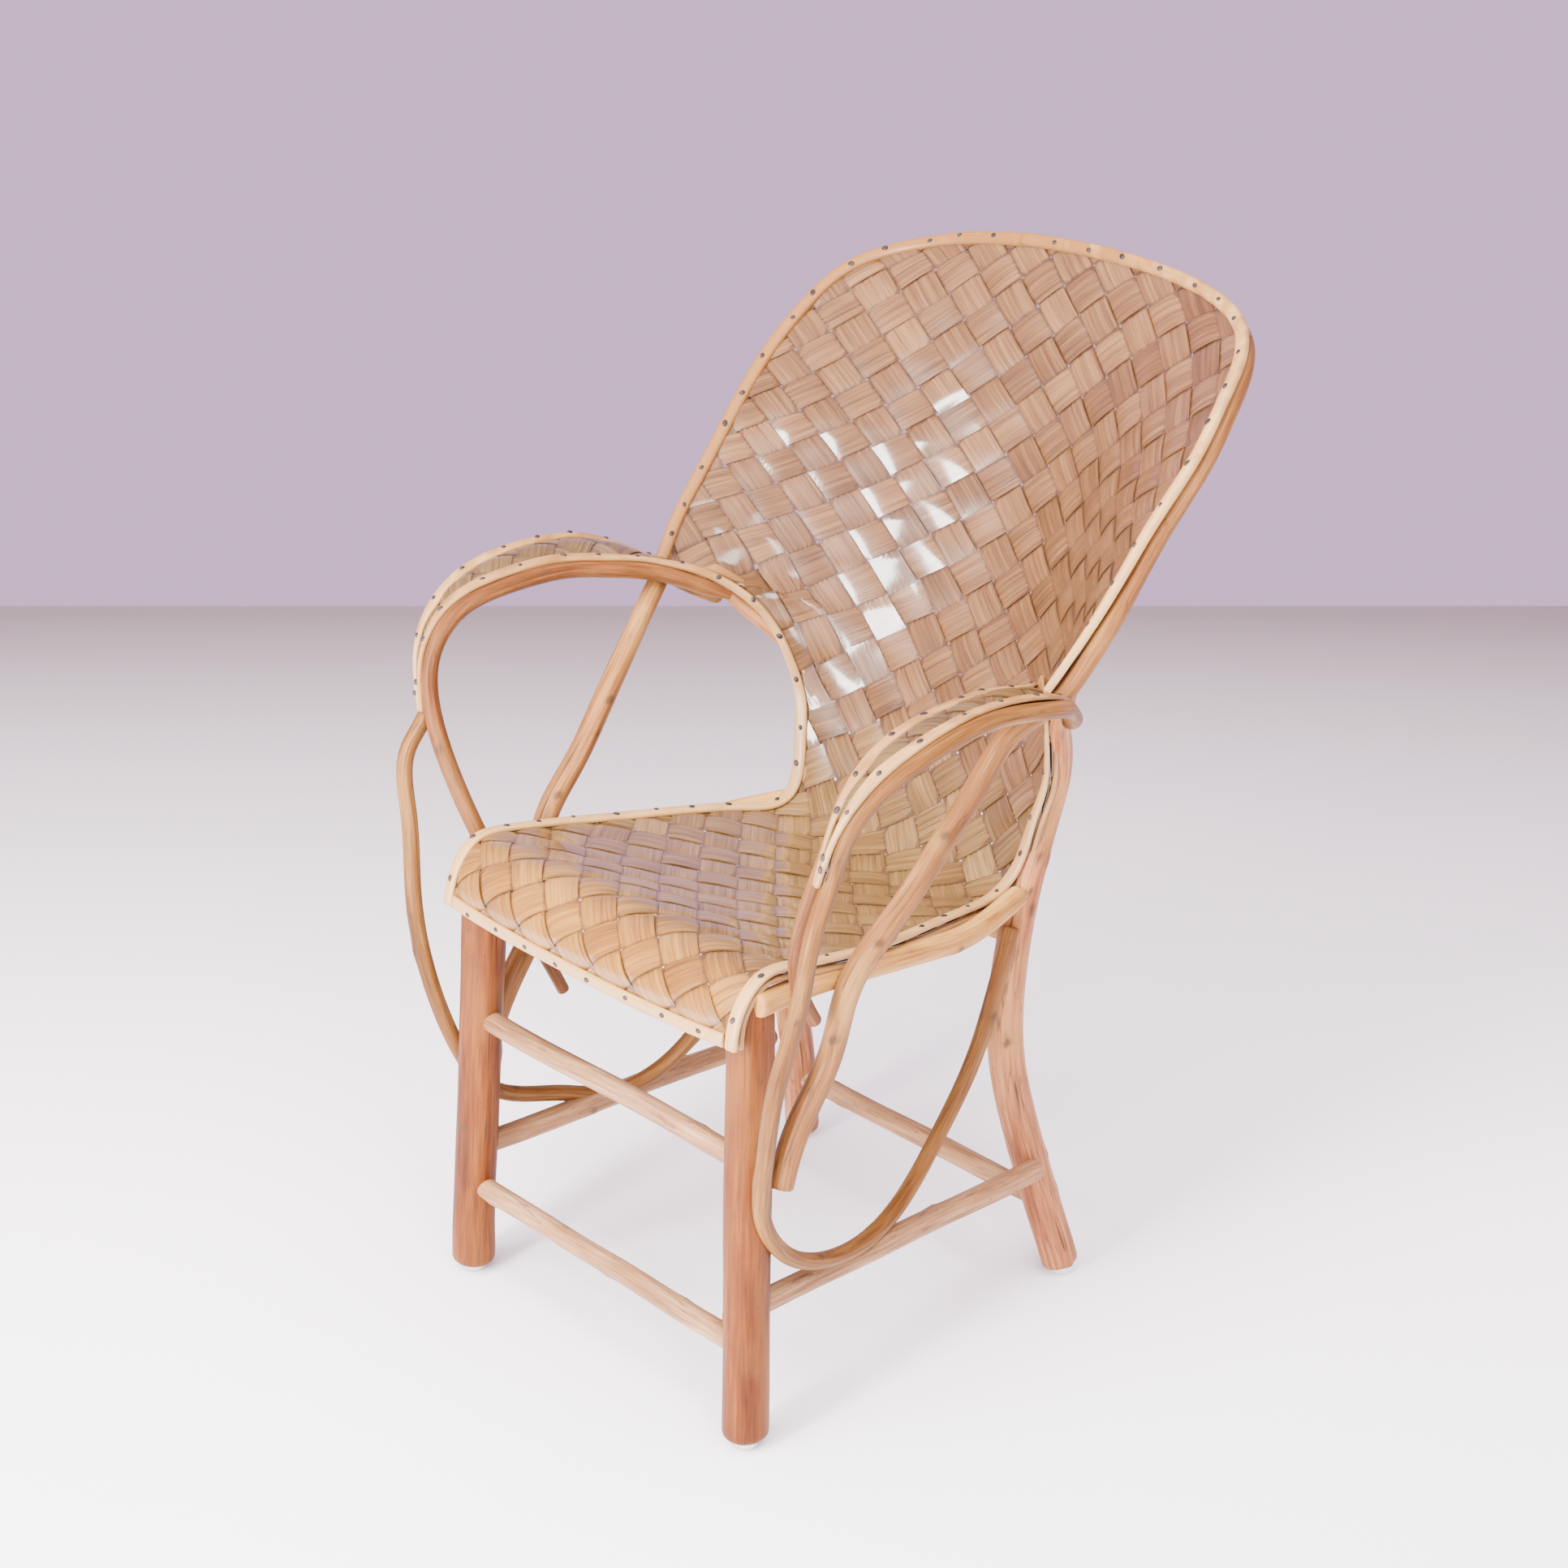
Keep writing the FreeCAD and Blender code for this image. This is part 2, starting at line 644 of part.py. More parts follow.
def inner_rod_route(end_shares):
    """Return the centres of an inner rod, waist to cut end, as it lies on the right side."""
    inner, _ = arm_edges()
    _, normals = arm_frames()
    arm = under_rim(inner, normals, INNER_ROD_DIAMETER)
    front = [place(*row) for row in INNER_ROD_FRONT_SHARES]
    rail = side_rail_route()
    at_rail = rail[0] + (rail[1] - rail[0]) * INNER_ROD_ON_RAIL_SHARE
    past_rail = beside(at_rail, ROD_BESIDE_RAIL, RAIL_DIAMETER, INNER_ROD_DIAMETER)
    return [place(*INNER_ROD_REAR_SHARES)] + arm[:-1] + front[1:] + [past_rail, place(*end_shares)]


def glide(foot):
    """Return a domed metal glide under a foot centre."""
    radius = GLIDE_DIAMETER / 2
    dome_out, dome_up = GLIDE_DOME_SHARES
    profile = Part.makePolygon([
        Vector(0, 0, 0),
        Vector(GLIDE_FLAT_DIAMETER / 2, 0, 0),
        Vector(radius * dome_out, 0, GLIDE_HEIGHT * dome_up),
        Vector(radius, 0, GLIDE_HEIGHT),
        Vector(0, 0, GLIDE_HEIGHT),
        Vector(0, 0, 0),
    ])
    dome = Part.Face(profile).revolve(Vector(0, 0, 0), Vector(0, 0, 1), FULL_TURN)
    dome.translate(Vector(foot.x, foot.y, 0))
    return dome


def cross_piece(route, share, diameter, bore):
    """Return a straight pole across the chair at a height, with its ends let into the two poles."""
    centre = along(route, share * SEAT_HEIGHT)
    end = Vector(centre.x - bore / 2 + TENON_LENGTH, centre.y, centre.z)
    return straight_pole(mirrored_point(end), end, diameter)


def build():
    """Return every piece of the chair by name, in the modelling frame."""
    pieces = {}
    leg_route = front_leg_route()
    back_route, back_diameters = back_pole_route()
    hoop_points, hoop_diameters = hoop_route()

    pieces["front_stretcher_upper"] = cross_piece(
        leg_route, UPPER_FRONT_STRETCHER_SHARE, FRONT_STRETCHER_DIAMETER, FRONT_LEG_DIAMETER)
    pieces["front_stretcher_lower"] = cross_piece(
        leg_route, LOWER_FRONT_STRETCHER_SHARE, FRONT_STRETCHER_DIAMETER, FRONT_LEG_DIAMETER)
    pieces["front_cross_rail"] = cross_piece(
        leg_route, FRONT_CROSS_RAIL_SHARE, FRONT_CROSS_RAIL_DIAMETER, FRONT_LEG_DIAMETER)
    pieces["rear_stretcher"] = cross_piece(
        back_route, REAR_STRETCHER_SHARE, REAR_STRETCHER_DIAMETER, BACK_POLE_DIAMETER)
    pieces["rear_cross_rail"] = cross_piece(
        back_route, REAR_CROSS_RAIL_SHARE, REAR_CROSS_RAIL_DIAMETER, BACK_POLE_DIAMETER)

    stretcher_front, stretcher_rear = side_stretcher_route()
    side_stretcher = straight_pole(stretcher_front, stretcher_rear, SIDE_STRETCHER_DIAMETER)
    narrow, reach = ROUNDED_END_SHARES
    side_stretcher = side_stretcher.fuse(Part.makeCone(
        SIDE_STRETCHER_DIAMETER / 2,
        SIDE_STRETCHER_DIAMETER / 2 * narrow,
        SIDE_STRETCHER_DIAMETER * reach,
        stretcher_rear,
        stretcher_rear - stretcher_front,
    ))

    back_pole = pole(back_route, back_diameters)
    for name in ("rear_stretcher", "rear_cross_rail"):
        centre = pieces[name].BoundBox.Center
        seat = straight_pole(
            along(back_route, centre.z - BACK_POLE_DIAMETER),
            along(back_route, centre.z + BACK_POLE_DIAMETER),
            BACK_POLE_DIAMETER + SEAT_GAP,
        )
        pieces[name] = pieces[name].cut(seat).cut(mirrored(seat))
    rail_route = side_rail_route()
    side_rail = rod(rail_route, RAIL_DIAMETER)
    rail_front = straight_pole(rail_route[0], rail_route[1], RAIL_DIAMETER + SEAT_GAP)

    leg = straight_pole(leg_route[0], leg_route[-1], FRONT_LEG_DIAMETER)
    leg = leg.cut(side_stretcher).cut(rail_front)
    for name in ("front_stretcher_upper", "front_stretcher_lower", "front_cross_rail"):
        leg = leg.cut(pieces[name])

    hoop = pole(hoop_points, hoop_diameters)
    arm_inner, arm_outer = arm_edges()
    right_side = {
        "front_leg": leg,
        "back_pole": back_pole,
        "hoop_pole": hoop,
        "side_rail": side_rail,
        "side_stretcher": side_stretcher,
        "outer_arm_rod": rod(outer_rod_route(), OUTER_ROD_DIAMETER),
        "arm_weave": woven_arm(),
        "arm_inner_rim": arm_strip(arm_inner, side_edge()[0][WAIST_TOP_ROW], 1),
        "arm_outer_rim": arm_strip(arm_outer, place(*OUTER_RIM_REAR_SHARES), -1),
        "side_rim_upper": side_strip(0),
        "side_rim_lower": side_strip(LOWER_RIM_TOP),
    }
    for name, shape in right_side.items():
        pieces[name + "_right"] = shape
        pieces[name + "_left"] = mirrored(shape)

    # The left inner rod runs on below the seat, the right one is cut off on the side rail
    pieces["inner_arm_rod_right"] = rod(inner_rod_route(INNER_ROD_RIGHT_END_SHARES), INNER_ROD_DIAMETER)
    pieces["inner_arm_rod_left"] = mirrored(
        rod(inner_rod_route(INNER_ROD_LEFT_END_SHARES), INNER_ROD_DIAMETER))
    pieces["woven_seat_and_back"] = woven_sheet()
    pieces["lip_rim_front"] = lip_strip(0)
    pieces["lip_rim_rear"] = lip_strip(LOWER_RIM_TOP)
    pieces["back_rim"] = back_rim()
    glides = [glide(route[0]) for route in (leg_route, back_route)]
    pieces["glides"] = Part.makeCompound(glides + [mirrored(dome) for dome in glides])
    return pieces


def main():
    """Build the chair, move its origin to the bottom centre of its box and write each piece."""
    pieces = build()
    box = FreeCAD.BoundBox()
    for shape in pieces.values():
        box.add(shape.optimalBoundingBox(False))
    shift = Vector(-box.Center.x, -box.Center.y, -box.ZMin)
    os.makedirs("parts", exist_ok=True)
    for name, shape in pieces.items():
        shape.translate(shift)
        shape.exportStep("parts/" + name + ".step")
        print(name, len(shape.Solids), shape.isValid(), round(shape.Volume / 1000, 1))
    print("shift", shift, "size", box.XLength, box.YLength, box.ZLength)


main()
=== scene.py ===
"""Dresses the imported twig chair: woven splints, smooth poles and rods, rims, nails and glides."""

import logging
import math
from dataclasses import dataclass, field
from enum import Enum
from typing import Optional, Sequence

import bpy
import numpy as np
from mathutils import Matrix, Vector


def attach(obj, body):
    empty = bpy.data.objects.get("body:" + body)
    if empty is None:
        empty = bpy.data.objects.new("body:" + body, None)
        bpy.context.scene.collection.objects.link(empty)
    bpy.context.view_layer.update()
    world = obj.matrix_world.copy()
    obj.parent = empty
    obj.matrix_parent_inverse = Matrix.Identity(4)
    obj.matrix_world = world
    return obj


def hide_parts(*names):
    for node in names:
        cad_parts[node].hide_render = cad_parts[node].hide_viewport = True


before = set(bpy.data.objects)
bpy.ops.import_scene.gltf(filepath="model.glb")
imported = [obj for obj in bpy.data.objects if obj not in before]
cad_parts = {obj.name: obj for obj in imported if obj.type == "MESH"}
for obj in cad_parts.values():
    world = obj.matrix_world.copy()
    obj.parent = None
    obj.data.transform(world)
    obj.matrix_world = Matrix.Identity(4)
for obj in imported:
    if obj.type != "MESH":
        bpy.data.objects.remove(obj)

LOG = logging.getLogger("twig_chair")
Array = np.ndarray
Point = Sequence[float]
Colour = tuple
Socket = bpy.types.NodeSocket
Piece = bpy.types.Object
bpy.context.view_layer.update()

# The chair's sizes in millimetres, as its source has them: lip at y = 0, floor at z = 0
MILLIMETRE = 0.001
SEAT_HEIGHT = 462.0
SEAT_DEPTH = 377.0
ORIGIN_BACK = 316.176
HEIGHT_MARKS = (0.0, SEAT_HEIGHT, 695.0, 974.0)
HALF_WIDTH_MARKS = (205.0, 210.0, 317.0, 283.0)
DEPTH_MARKS = (0.0, SEAT_DEPTH, 622.0)
RIM_WIDTH = 14.0
RIM_THICKNESS = 4.5
SEAT_GAP = 0.3
WEAVE_THICKNESS = 3.0
SHEET_TOP = RIM_THICKNESS + SEAT_GAP
SHEET_BOTTOM = SHEET_TOP + WEAVE_THICKNESS
SHEET_MIDDLE = SHEET_TOP + WEAVE_THICKNESS / 2
LOWER_RIM_TOP = SHEET_BOTTOM + SEAT_GAP
GLIDE_HEIGHT = 9.0

# Edge (across, back, up), middle (back, up), fullness, bell and squareness of the sheet's rows
SHEET_SHARES = (
    (1.000, 0.000, 0.863, -0.019, 0.857, 2.40, -0.20, 0.0),
    (0.997, 0.019, 0.931, -0.019, 0.926, 2.40, -0.20, 0.0),
    (0.997, 0.056, 0.974, 0.018, 0.964, 2.40, -0.20, 0.0),
    (0.999, 0.110, 0.999, 0.085, 1.004, 2.40, -0.20, 0.0),
    (1.002, 0.196, 0.994, 0.193, 1.000, 2.26, -0.20, 0.0),
    (1.003, 0.292, 0.982, 0.317, 0.969, 1.78, -0.17, 0.0),
    (0.972, 0.477, 0.959, 0.483, 0.934, 1.83, -0.14, 0.0),
    (0.897, 0.676, 0.940, 0.678, 0.905, 1.88, -0.11, 0.0),
    (0.806, 0.894, 0.916, 0.894, 0.881, 1.93, -0.08, 0.0),
    (0.752, 1.000, 0.909, 1.017, 0.889, 1.99, -0.05, 0.0),
    (0.760, 1.078, 0.948, 1.134, 0.931, 2.30, -0.09, 0.0),
    (0.749, 1.123, 1.102, 1.220, 1.034, 2.61, -0.12, 0.0),
    (0.717, 1.138, 1.320, 1.319, 1.278, 2.93, -0.15, 0.0),
    (0.698, 1.078, 1.524, 1.368, 1.397, 2.85, -0.14, 0.0),
    (0.715, 0.996, 1.664, 1.404, 1.482, 2.77, -0.13, 0.0),
    (0.746, 0.876, 1.817, 1.447, 1.571, 2.69, -0.12, 0.0),
    (0.864, 0.822, 1.867, 1.502, 1.664, 2.63, 0.07, 0.0),
    (0.851, 0.890, 2.007, 1.559, 1.790, 2.57, 0.26, 0.0),
    (0.880, 0.979, 2.142, 1.628, 1.974, 2.55, 0.43, 0.0),
    (0.919, 1.186, 2.368, 1.746, 2.250, 2.54, 0.60, 0.0),
    (0.950, 1.421, 2.580, 1.826, 2.528, 2.30, 0.30, 0.0),
    (0.934, 1.584, 2.717, 1.883, 2.720, 2.05, 0.01, 0.2),
    (0.908, 1.713, 2.806, 1.926, 2.854, 2.13, 0.00, 0.6),
    (0.868, 1.788, 2.848, 2.000, 3.000, 2.20, 0.00, 1.0),
)
WAIST_TOP_ROW = 15
HOOP_ROW = 16
SQUARE_FULLNESS = 6
TOP_FULLNESS = 2.1
TOP_ROUNDNESS = 0.8

# Rows of the arm from the rear to the tip: inner edge, outer edge and the rims' share of width
ARM_SHARES = (
    ((0.806, 0.772, 1.888), (0.948, 0.862, 1.837), 1.0),
    ((0.812, 0.663, 1.927), (1.010, 0.708, 1.956), 1.0),
    ((0.840, 0.543, 1.954), (1.002, 0.531, 1.998), 1.0),
    ((0.863, 0.398, 1.951), (1.011, 0.385, 1.981), 1.0),
    ((0.887, 0.286, 1.925), (1.023, 0.279, 1.933), 1.0),
    ((0.919, 0.203, 1.876), (1.030, 0.194, 1.858), 1.0),
    ((0.958, 0.138, 1.785), (1.042, 0.127, 1.747), 0.68),
    ((0.995, 0.103, 1.682), (1.054, 0.095, 1.635), 0.42),
    ((1.055, 0.080, 1.446), (1.084, 0.076, 1.442), 0.30),
)
OUTER_RIM_REAR_SHARES = (0.913, 0.902, 1.803)
ARM_CROWN = 7.0

OUTER_ROD_HOOK_SHARES = ((0.888, 0.973, 1.648), (0.922, 0.923, 1.712), (0.950, 0.870, 1.773))
OUTER_ROD_FRONT_SHARES = (
    (1.181, 0.057, 1.291),
    (1.314, 0.034, 1.009),
    (1.244, 0.007, 0.836),
    (1.153, 0.013, 0.650),
)
OUTER_ROD_LOOP_SHARES = (
    (1.044, 0.156, 0.392),
    (0.958, 0.477, 0.325),
    (0.879, 0.630, 0.360),
    (0.821, 0.756, 0.435),
    (0.813, 0.886, 0.580),
    (0.815, 0.955, 0.727),
)
LEFT_LOOP_DROPS = (4.0, 12.0, 13.0, 6.0)
INNER_ROD_REAR_SHARES = (0.731, 0.956, 1.696)
INNER_ROD_FRONT_SHARES = ((1.058, 0.107, 1.285),)
INNER_ROD_LEFT_END_SHARES = (0.977, 0.358, 0.576)
INNER_ROD_RIGHT_END_SHARES = (1.060, 0.215, 0.880)
BRACE_LOW_SHARES = ((1.011, 0.138, 0.541), (0.994, 0.186, 0.634), (1.015, 0.289, 0.781))
BRACE_HIGH_SHARES = (
    (1.034, 0.464, 1.108),
    (0.962, 0.573, 1.326),
    (0.901, 0.684, 1.549),
    (0.867, 0.793, 1.746),
)
BACK_POLE_SHARES = (
    (0.927, 1.269, 0.019, 1.00),
    (0.844, 1.188, 0.210, 1.00),
    (0.770, 1.049, 0.532, 0.97),
    (0.757, 1.047, 0.719, 0.94),
    (0.741, 1.170, 0.952, 0.84),
    (0.720, 1.222, 1.099, 0.72),
    (0.712, 1.214, 1.305, 0.60),
    (0.720, 1.162, 1.438, 0.55),
    (0.753, 1.073, 1.558, 0.52),
    (0.793, 0.997, 1.652, 0.50),
    (0.820, 0.958, 1.820, 0.45),
)
FRONT_LEG_SHARES = ((0.998, 0.036, 0.019), (0.901, 0.097, 0.931))
SIDE_RAIL_SHARES = (
    (0.992, 0.070, 0.940),
    (0.973, 0.305, 0.933),
    (0.954, 0.488, 0.916),
    (0.926, 0.663, 0.896),
    (0.893, 0.796, 0.885),
    (0.850, 0.907, 0.887),
    (0.793, 1.053, 0.892),
)

# The hoop pole: its thickness as shares, its distance in from the edge, and how softly it bends
HOOP_START_SHARES = (1.0, 1.0, 0.99, 0.99, 0.97, 0.95, 0.91, 0.88)
HOOP_MIDDLE_SHARE = 0.82
HOOP_INSET_SHARE = 1.25
HOOP_EASE = 16.0
LEFT_ELBOW_SHIFTS = (9.0, 15.0)

# The back pole: height of its tip, and how far its upper rows stand clear of the waist
TIP_HEIGHT = 697.0
TIP_BEHIND_HOOP = (-0.45, 0.85, -0.2)
WAIST_CLEARANCES = (0.5, 2.5, 3.5, 4.0, 4.5, 6.0, 7.0)

# The strip along the waist: its turn where it passes into the arm, and its narrow stretch
WAIST_TURN = 26.0
WAIST_TURN_WAY = (0.40, 0.60, 0.60)
WAIST_NARROWING = 0.36
WAIST_NARROW_BEFORE = 60.0
WAIST_NARROW_REACH = 120.0
EDGE_EASE = 9.0
WAY_EASE = 14.0

# The back's rim: columns where its top edge is read, how far inside the edge the face is read,
# and the lap of its two strips
TOP_EDGE_SHARES = (0.96, 0.87, 0.74, 0.56, 0.36, 0.17, 0.0)
FACE_ROWS_INSIDE = 12
FACE_COLUMN_SHARE = 0.955
BACK_RIM_THICKNESS = 7.6
LAP_SHARE = 0.548
LAP_LENGTH = 26.0
LAP_RISE = 1.7


class Side(Enum):
    """The side of the chair that a piece stands on, as its sitter's view from the front has it."""

    RIGHT = 1
    LEFT = -1

    @property
    def word(self) -> str:
        """Return the ending that names a piece of this side."""
        return self.name.lower()


class Family(Enum):
    """The two directions in which the splints run."""

    RISING_RIGHT = 1
    RISING_LEFT = -1


class EndCut(Enum):
    """How a pole's end was finished: reach in radii, loss at the very end, and steepness."""

    SAWN = (0.14, 0.10, 1)
    ROUNDED = (0.9, 0.85, 2)
    WHITTLED = (3.2, 0.55, 1)
    WORN = (0.32, 0.22, 2)

    def share_left(self, distance: Array, radius: float) -> Array:
        """Return the share of the full radius that is left near the end.

        Args:
            distance: millimetres from the end.
            radius: the pole's radius at its end, in millimetres.

        Returns:
            A share from 0 to 1 for each distance.
        """
        reach, loss, steepness = self.value
        left = 1 - loss * np.clip(1 - distance / (radius * reach), 0, 1) ** steepness
        return np.sqrt(np.maximum(left, 0.05)) if self is EndCut.ROUNDED else left


# ---------------------------------------------------------------- geometry helpers


def at_marks(share: float, marks: Sequence[float]) -> float:
    """Return the length at a share of a list of marks.

    Args:
        share: place on the marks, 0 at the first and 1 at the second.
        marks: growing lengths.

    Returns:
        The length, straight between the marks and past their ends.
    """
    step = min(max(math.floor(share), 0), len(marks) - 2)
    return marks[step] + (share - step) * (marks[step + 1] - marks[step])


def place(across: float, back: float, up: float) -> Array:
    """Return the point in millimetres at shares of the half width, depth and height marks."""
    width, depth, height = HALF_WIDTH_MARKS, DEPTH_MARKS, HEIGHT_MARKS
    return np.array([across * at_marks(up, width), at_marks(back, depth), at_marks(up, height)])


def places(rows: Sequence[Point]) -> Array:
    """Return the points at rows of shares, each of which starts with (across, back, up)."""
    return np.array([place(*row[:3]) for row in rows])


def unit(vectors: Array) -> Array:
    """Return vectors scaled to one unit of length along their last axis."""
    length = np.linalg.norm(vectors, axis=-1, keepdims=True)
    return vectors / np.maximum(length, 1e-9)


def travel(points: Array) -> Array:
    """Return the unit direction of travel at each point of a line."""
    return unit(np.gradient(np.asarray(points, float), axis=0))


def run_lengths(points: Array) -> Array:
    """Return the running length at each point of a line."""
    steps = np.linalg.norm(np.diff(points, axis=0), axis=1)
    return np.concatenate([[0.0], np.cumsum(steps)])


def on_side(points: Array, side: Side) -> Array:
    """Return right-hand points as they lie on a side of the chair."""
    return np.asarray(points, float) * np.array([side.value, 1.0, 1.0])


def in_frame(points: Array) -> Array:
    """Return points of the source, in millimetres, as metres of the frame."""
    return (np.asarray(points, float) - np.array([0.0, ORIGIN_BACK, 0.0])) * MILLIMETRE


def read_along(wanted: Array, lengths: Array, rows: Array) -> Array:
    """Return rows of three values at wanted lengths, straight between the given rows."""
    return np.stack([np.interp(wanted, lengths, rows[:, axis]) for axis in range(3)], axis=-1)


class SmoothCurve:
    """A natural cubic curve through rows of values at growing steps."""

    def __init__(self, steps: Array, values: Array) -> None:
        """Find the curve.

        Args:
            steps: growing numbers, one for each row.
            values: rows of values.
        """
        self.steps = np.asarray(steps, float)
        self.values = np.asarray(values, float).reshape(len(self.steps), -1)
        gaps = np.diff(self.steps)
        count = len(self.steps)
        matrix = np.eye(count)
        wanted = np.zeros_like(self.values)
        for row in range(1, count - 1):
            matrix[row, row - 1:row + 2] = gaps[row - 1], 2 * (gaps[row - 1] + gaps[row]), gaps[row]
            rise = (self.values[row + 1] - self.values[row]) / gaps[row]
            wanted[row] = 6 * (rise - (self.values[row] - self.values[row - 1]) / gaps[row - 1])
        self.bends = np.linalg.solve(matrix, wanted)
        self.gaps = gaps

    def at(self, steps: Array) -> Array:
        """Return the curve's values.

        Args:
            steps: where to read the curve. Those past its ends are read at its ends.

        Returns:
            A row of values for each step.
        """
        steps = np.clip(np.asarray(steps, float), self.steps[0], self.steps[-1])
        row = np.clip(np.searchsorted(self.steps, steps, side="right") - 1, 0, len(self.gaps) - 1)
        gap = self.gaps[row][:, None]
        past = (steps - self.steps[row])[:, None]
        left = gap - past
        first, second = self.bends[row], self.bends[row + 1]
        curved = (first * left ** 3 + second * past ** 3) / (6 * gap)
        straight = (self.values[row] / gap - first * gap / 6) * left
        return curved + straight + (self.values[row + 1] / gap - second * gap / 6) * past


def eased(lengths: Array, values: Array, reach: float) -> Array:
    """Return rows of values averaged softly along a line, its two ends kept.

    Args:
        lengths: running length at each row.
        values: rows of values.
        reach: how far the averaging reaches, in millimetres.

    Returns:
        The eased rows.
    """
    room = np.minimum(lengths, lengths[-1] - lengths)
    reaches = np.clip(np.minimum(reach, room / 2), 1e-3, None)
    weights = np.exp(-0.5 * ((lengths[None, :] - lengths[:, None]) / reaches[:, None]) ** 2)
    return weights @ values / weights.sum(axis=1, keepdims=True)


def along(points: Array, up: float) -> Array:
    """Return the point of a rising line at a height.

    Args:
        points: the line's points, each higher than the one before.
        up: the height in millimetres.

    Returns:
        The point, straight between the line's points and past their ends.
    """
    points = np.asarray(points, float)
    for low, high in zip(points, points[1:]):
        if low[2] <= up <= high[2]:
            break
    else:
        low, high = (points[0], points[1]) if up < points[0][2] else (points[-2], points[-1])
    return low + (high - low) * ((up - low[2]) / (high[2] - low[2]))


def beside(centre: Array, direction: Point, first: float, second: float) -> Array:
    """Return the centre of a round piece laid against another in a direction from its centre."""
    return centre + unit(np.asarray(direction, float)) * ((first + second) / 2 + SEAT_GAP)


def arm_rows() -> tuple[Array, Array, Array, Array]:
    """Read the right arm's rows.

    Returns:
        Its inner edge, its outer edge, the ways across and the normals, row by row.
    """
    inner, outer = [places([row[edge] for row in ARM_SHARES]) for edge in (0, 1)]
    across = unit(outer - inner)
    return inner, outer, across, -unit(np.cross(across, travel((inner + outer) / 2)))


# ---------------------------------------------------------------- the maker's hands


class Bench:
    """Makes meshes the way they are made by hand, each from a primitive."""

    @staticmethod
    def clear() -> None:
        """Leave nothing selected."""
        if bpy.context.object and bpy.context.object.mode != "OBJECT":
            bpy.ops.object.mode_set(mode="OBJECT")
        bpy.ops.object.select_all(action="DESELECT")

    @staticmethod
    def take(piece: Piece) -> None:
        """Select one piece alone and make it the active one.

        Args:
            piece: the piece.
        """
        Bench.clear()
        piece.select_set(True)
        bpy.context.view_layer.objects.active = piece

    @staticmethod
    def lay_grid(
        name: str, points: Array, grain: Array, marks: dict[str, Array], closed: bool = False,
    ) -> Piece:
        """Make a grid and lay its corners on given places.

        Args:
            name: name of the new piece.
            points: rows and columns of places in millimetres.
            grain: rows and columns of (along, around) in millimetres, kept as the UV map.
            marks: named values at the corners, kept as attributes.
            closed: whether the last column meets the first one and both ends get a face.

        Returns:
            The new piece.
        """
        rows, columns = points.shape[:2]
        Bench.clear()
        bpy.ops.mesh.primitive_grid_add(
            x_subdivisions=columns - 1, y_subdivisions=rows - 1, size=2, calc_uvs=True)
        piece = bpy.context.object
        piece.name = name
        mesh = piece.data
        flat = np.zeros(len(mesh.vertices) * 3)
        mesh.vertices.foreach_get("co", flat)
        flat = flat.reshape(-1, 3)
        column = np.rint((flat[:, 0] + 1) / 2 * (columns - 1)).astype(int)
        row = np.rint((flat[:, 1] + 1) / 2 * (rows - 1)).astype(int)
        mesh.vertices.foreach_set("co", in_frame(points[row, column]).ravel())
        corners = np.zeros(len(mesh.loops), int)
        mesh.loops.foreach_get("vertex_index", corners)
        places = grain[row[corners], column[corners]] * MILLIMETRE
        mesh.uv_layers.active.data.foreach_set("uv", places.ravel())
        for mark, values in marks.items():
            kept = mesh.attributes.new(mark, "FLOAT", "POINT")
            laid = np.broadcast_to(values, (rows, columns))[row, column]
            kept.data.foreach_set("value", laid.ravel())
        mesh.update()
        if closed:
            bpy.ops.object.mode_set(mode="EDIT")
            bpy.ops.mesh.select_all(action="SELECT")
            bpy.ops.mesh.remove_doubles(threshold=1e-6)
            bpy.ops.mesh.select_all(action="DESELECT")
            bpy.ops.mesh.select_non_manifold()
            bpy.ops.mesh.fill_holes(sides=0)
            bpy.ops.mesh.select_all(action="SELECT")
            bpy.ops.mesh.normals_make_consistent(inside=False)
            bpy.ops.object.mode_set(mode="OBJECT")
        return piece

    @staticmethod
    def join(name: str, pieces: Sequence[Piece]) -> Piece:
        """Join pieces into one.

        Args:
            name: name of the whole piece and of its mesh.
            pieces: the parts.

        Returns:
            The whole piece.
        """
        Bench.take(pieces[0])
        for piece in pieces[1:]:
            piece.select_set(True)
        if len(pieces) > 1:
            bpy.ops.object.join()
        joined = bpy.context.object
        joined.name = name
        joined.data.name = name
        return joined

    @staticmethod
    def modify(piece: Piece, kind: str, **settings: object) -> None:
        """Put a modifier on a piece and apply it.

        Args:
            piece: the piece.
            kind: the modifier's type.
            **settings: the modifier's own settings.
        """
        Bench.take(piece)
        bpy.ops.object.modifier_add(type=kind)
        modifier = piece.modifiers[-1]
        for setting, value in settings.items():
            setattr(modifier, setting, value)
        bpy.ops.object.modifier_apply(modifier=modifier.name)

    @staticmethod
    def copy_of(pattern: Piece, matrix: Matrix) -> Piece:
        """Copy a piece with its own mesh.

        Args:
            pattern: the piece to copy.
            matrix: where its mesh goes.

        Returns:
            The copy.
        """
        copy = pattern.copy()
        copy.data = pattern.data.copy()
        bpy.context.scene.collection.objects.link(copy)
        copy.data.transform(matrix)
        return copy

    @staticmethod
    def smooth(piece: Piece, degrees: float = 40) -> None:
        """Shade a piece smooth up to an angle."""
        Bench.take(piece)
        bpy.ops.object.shade_smooth_by_angle(angle=math.radians(degrees))

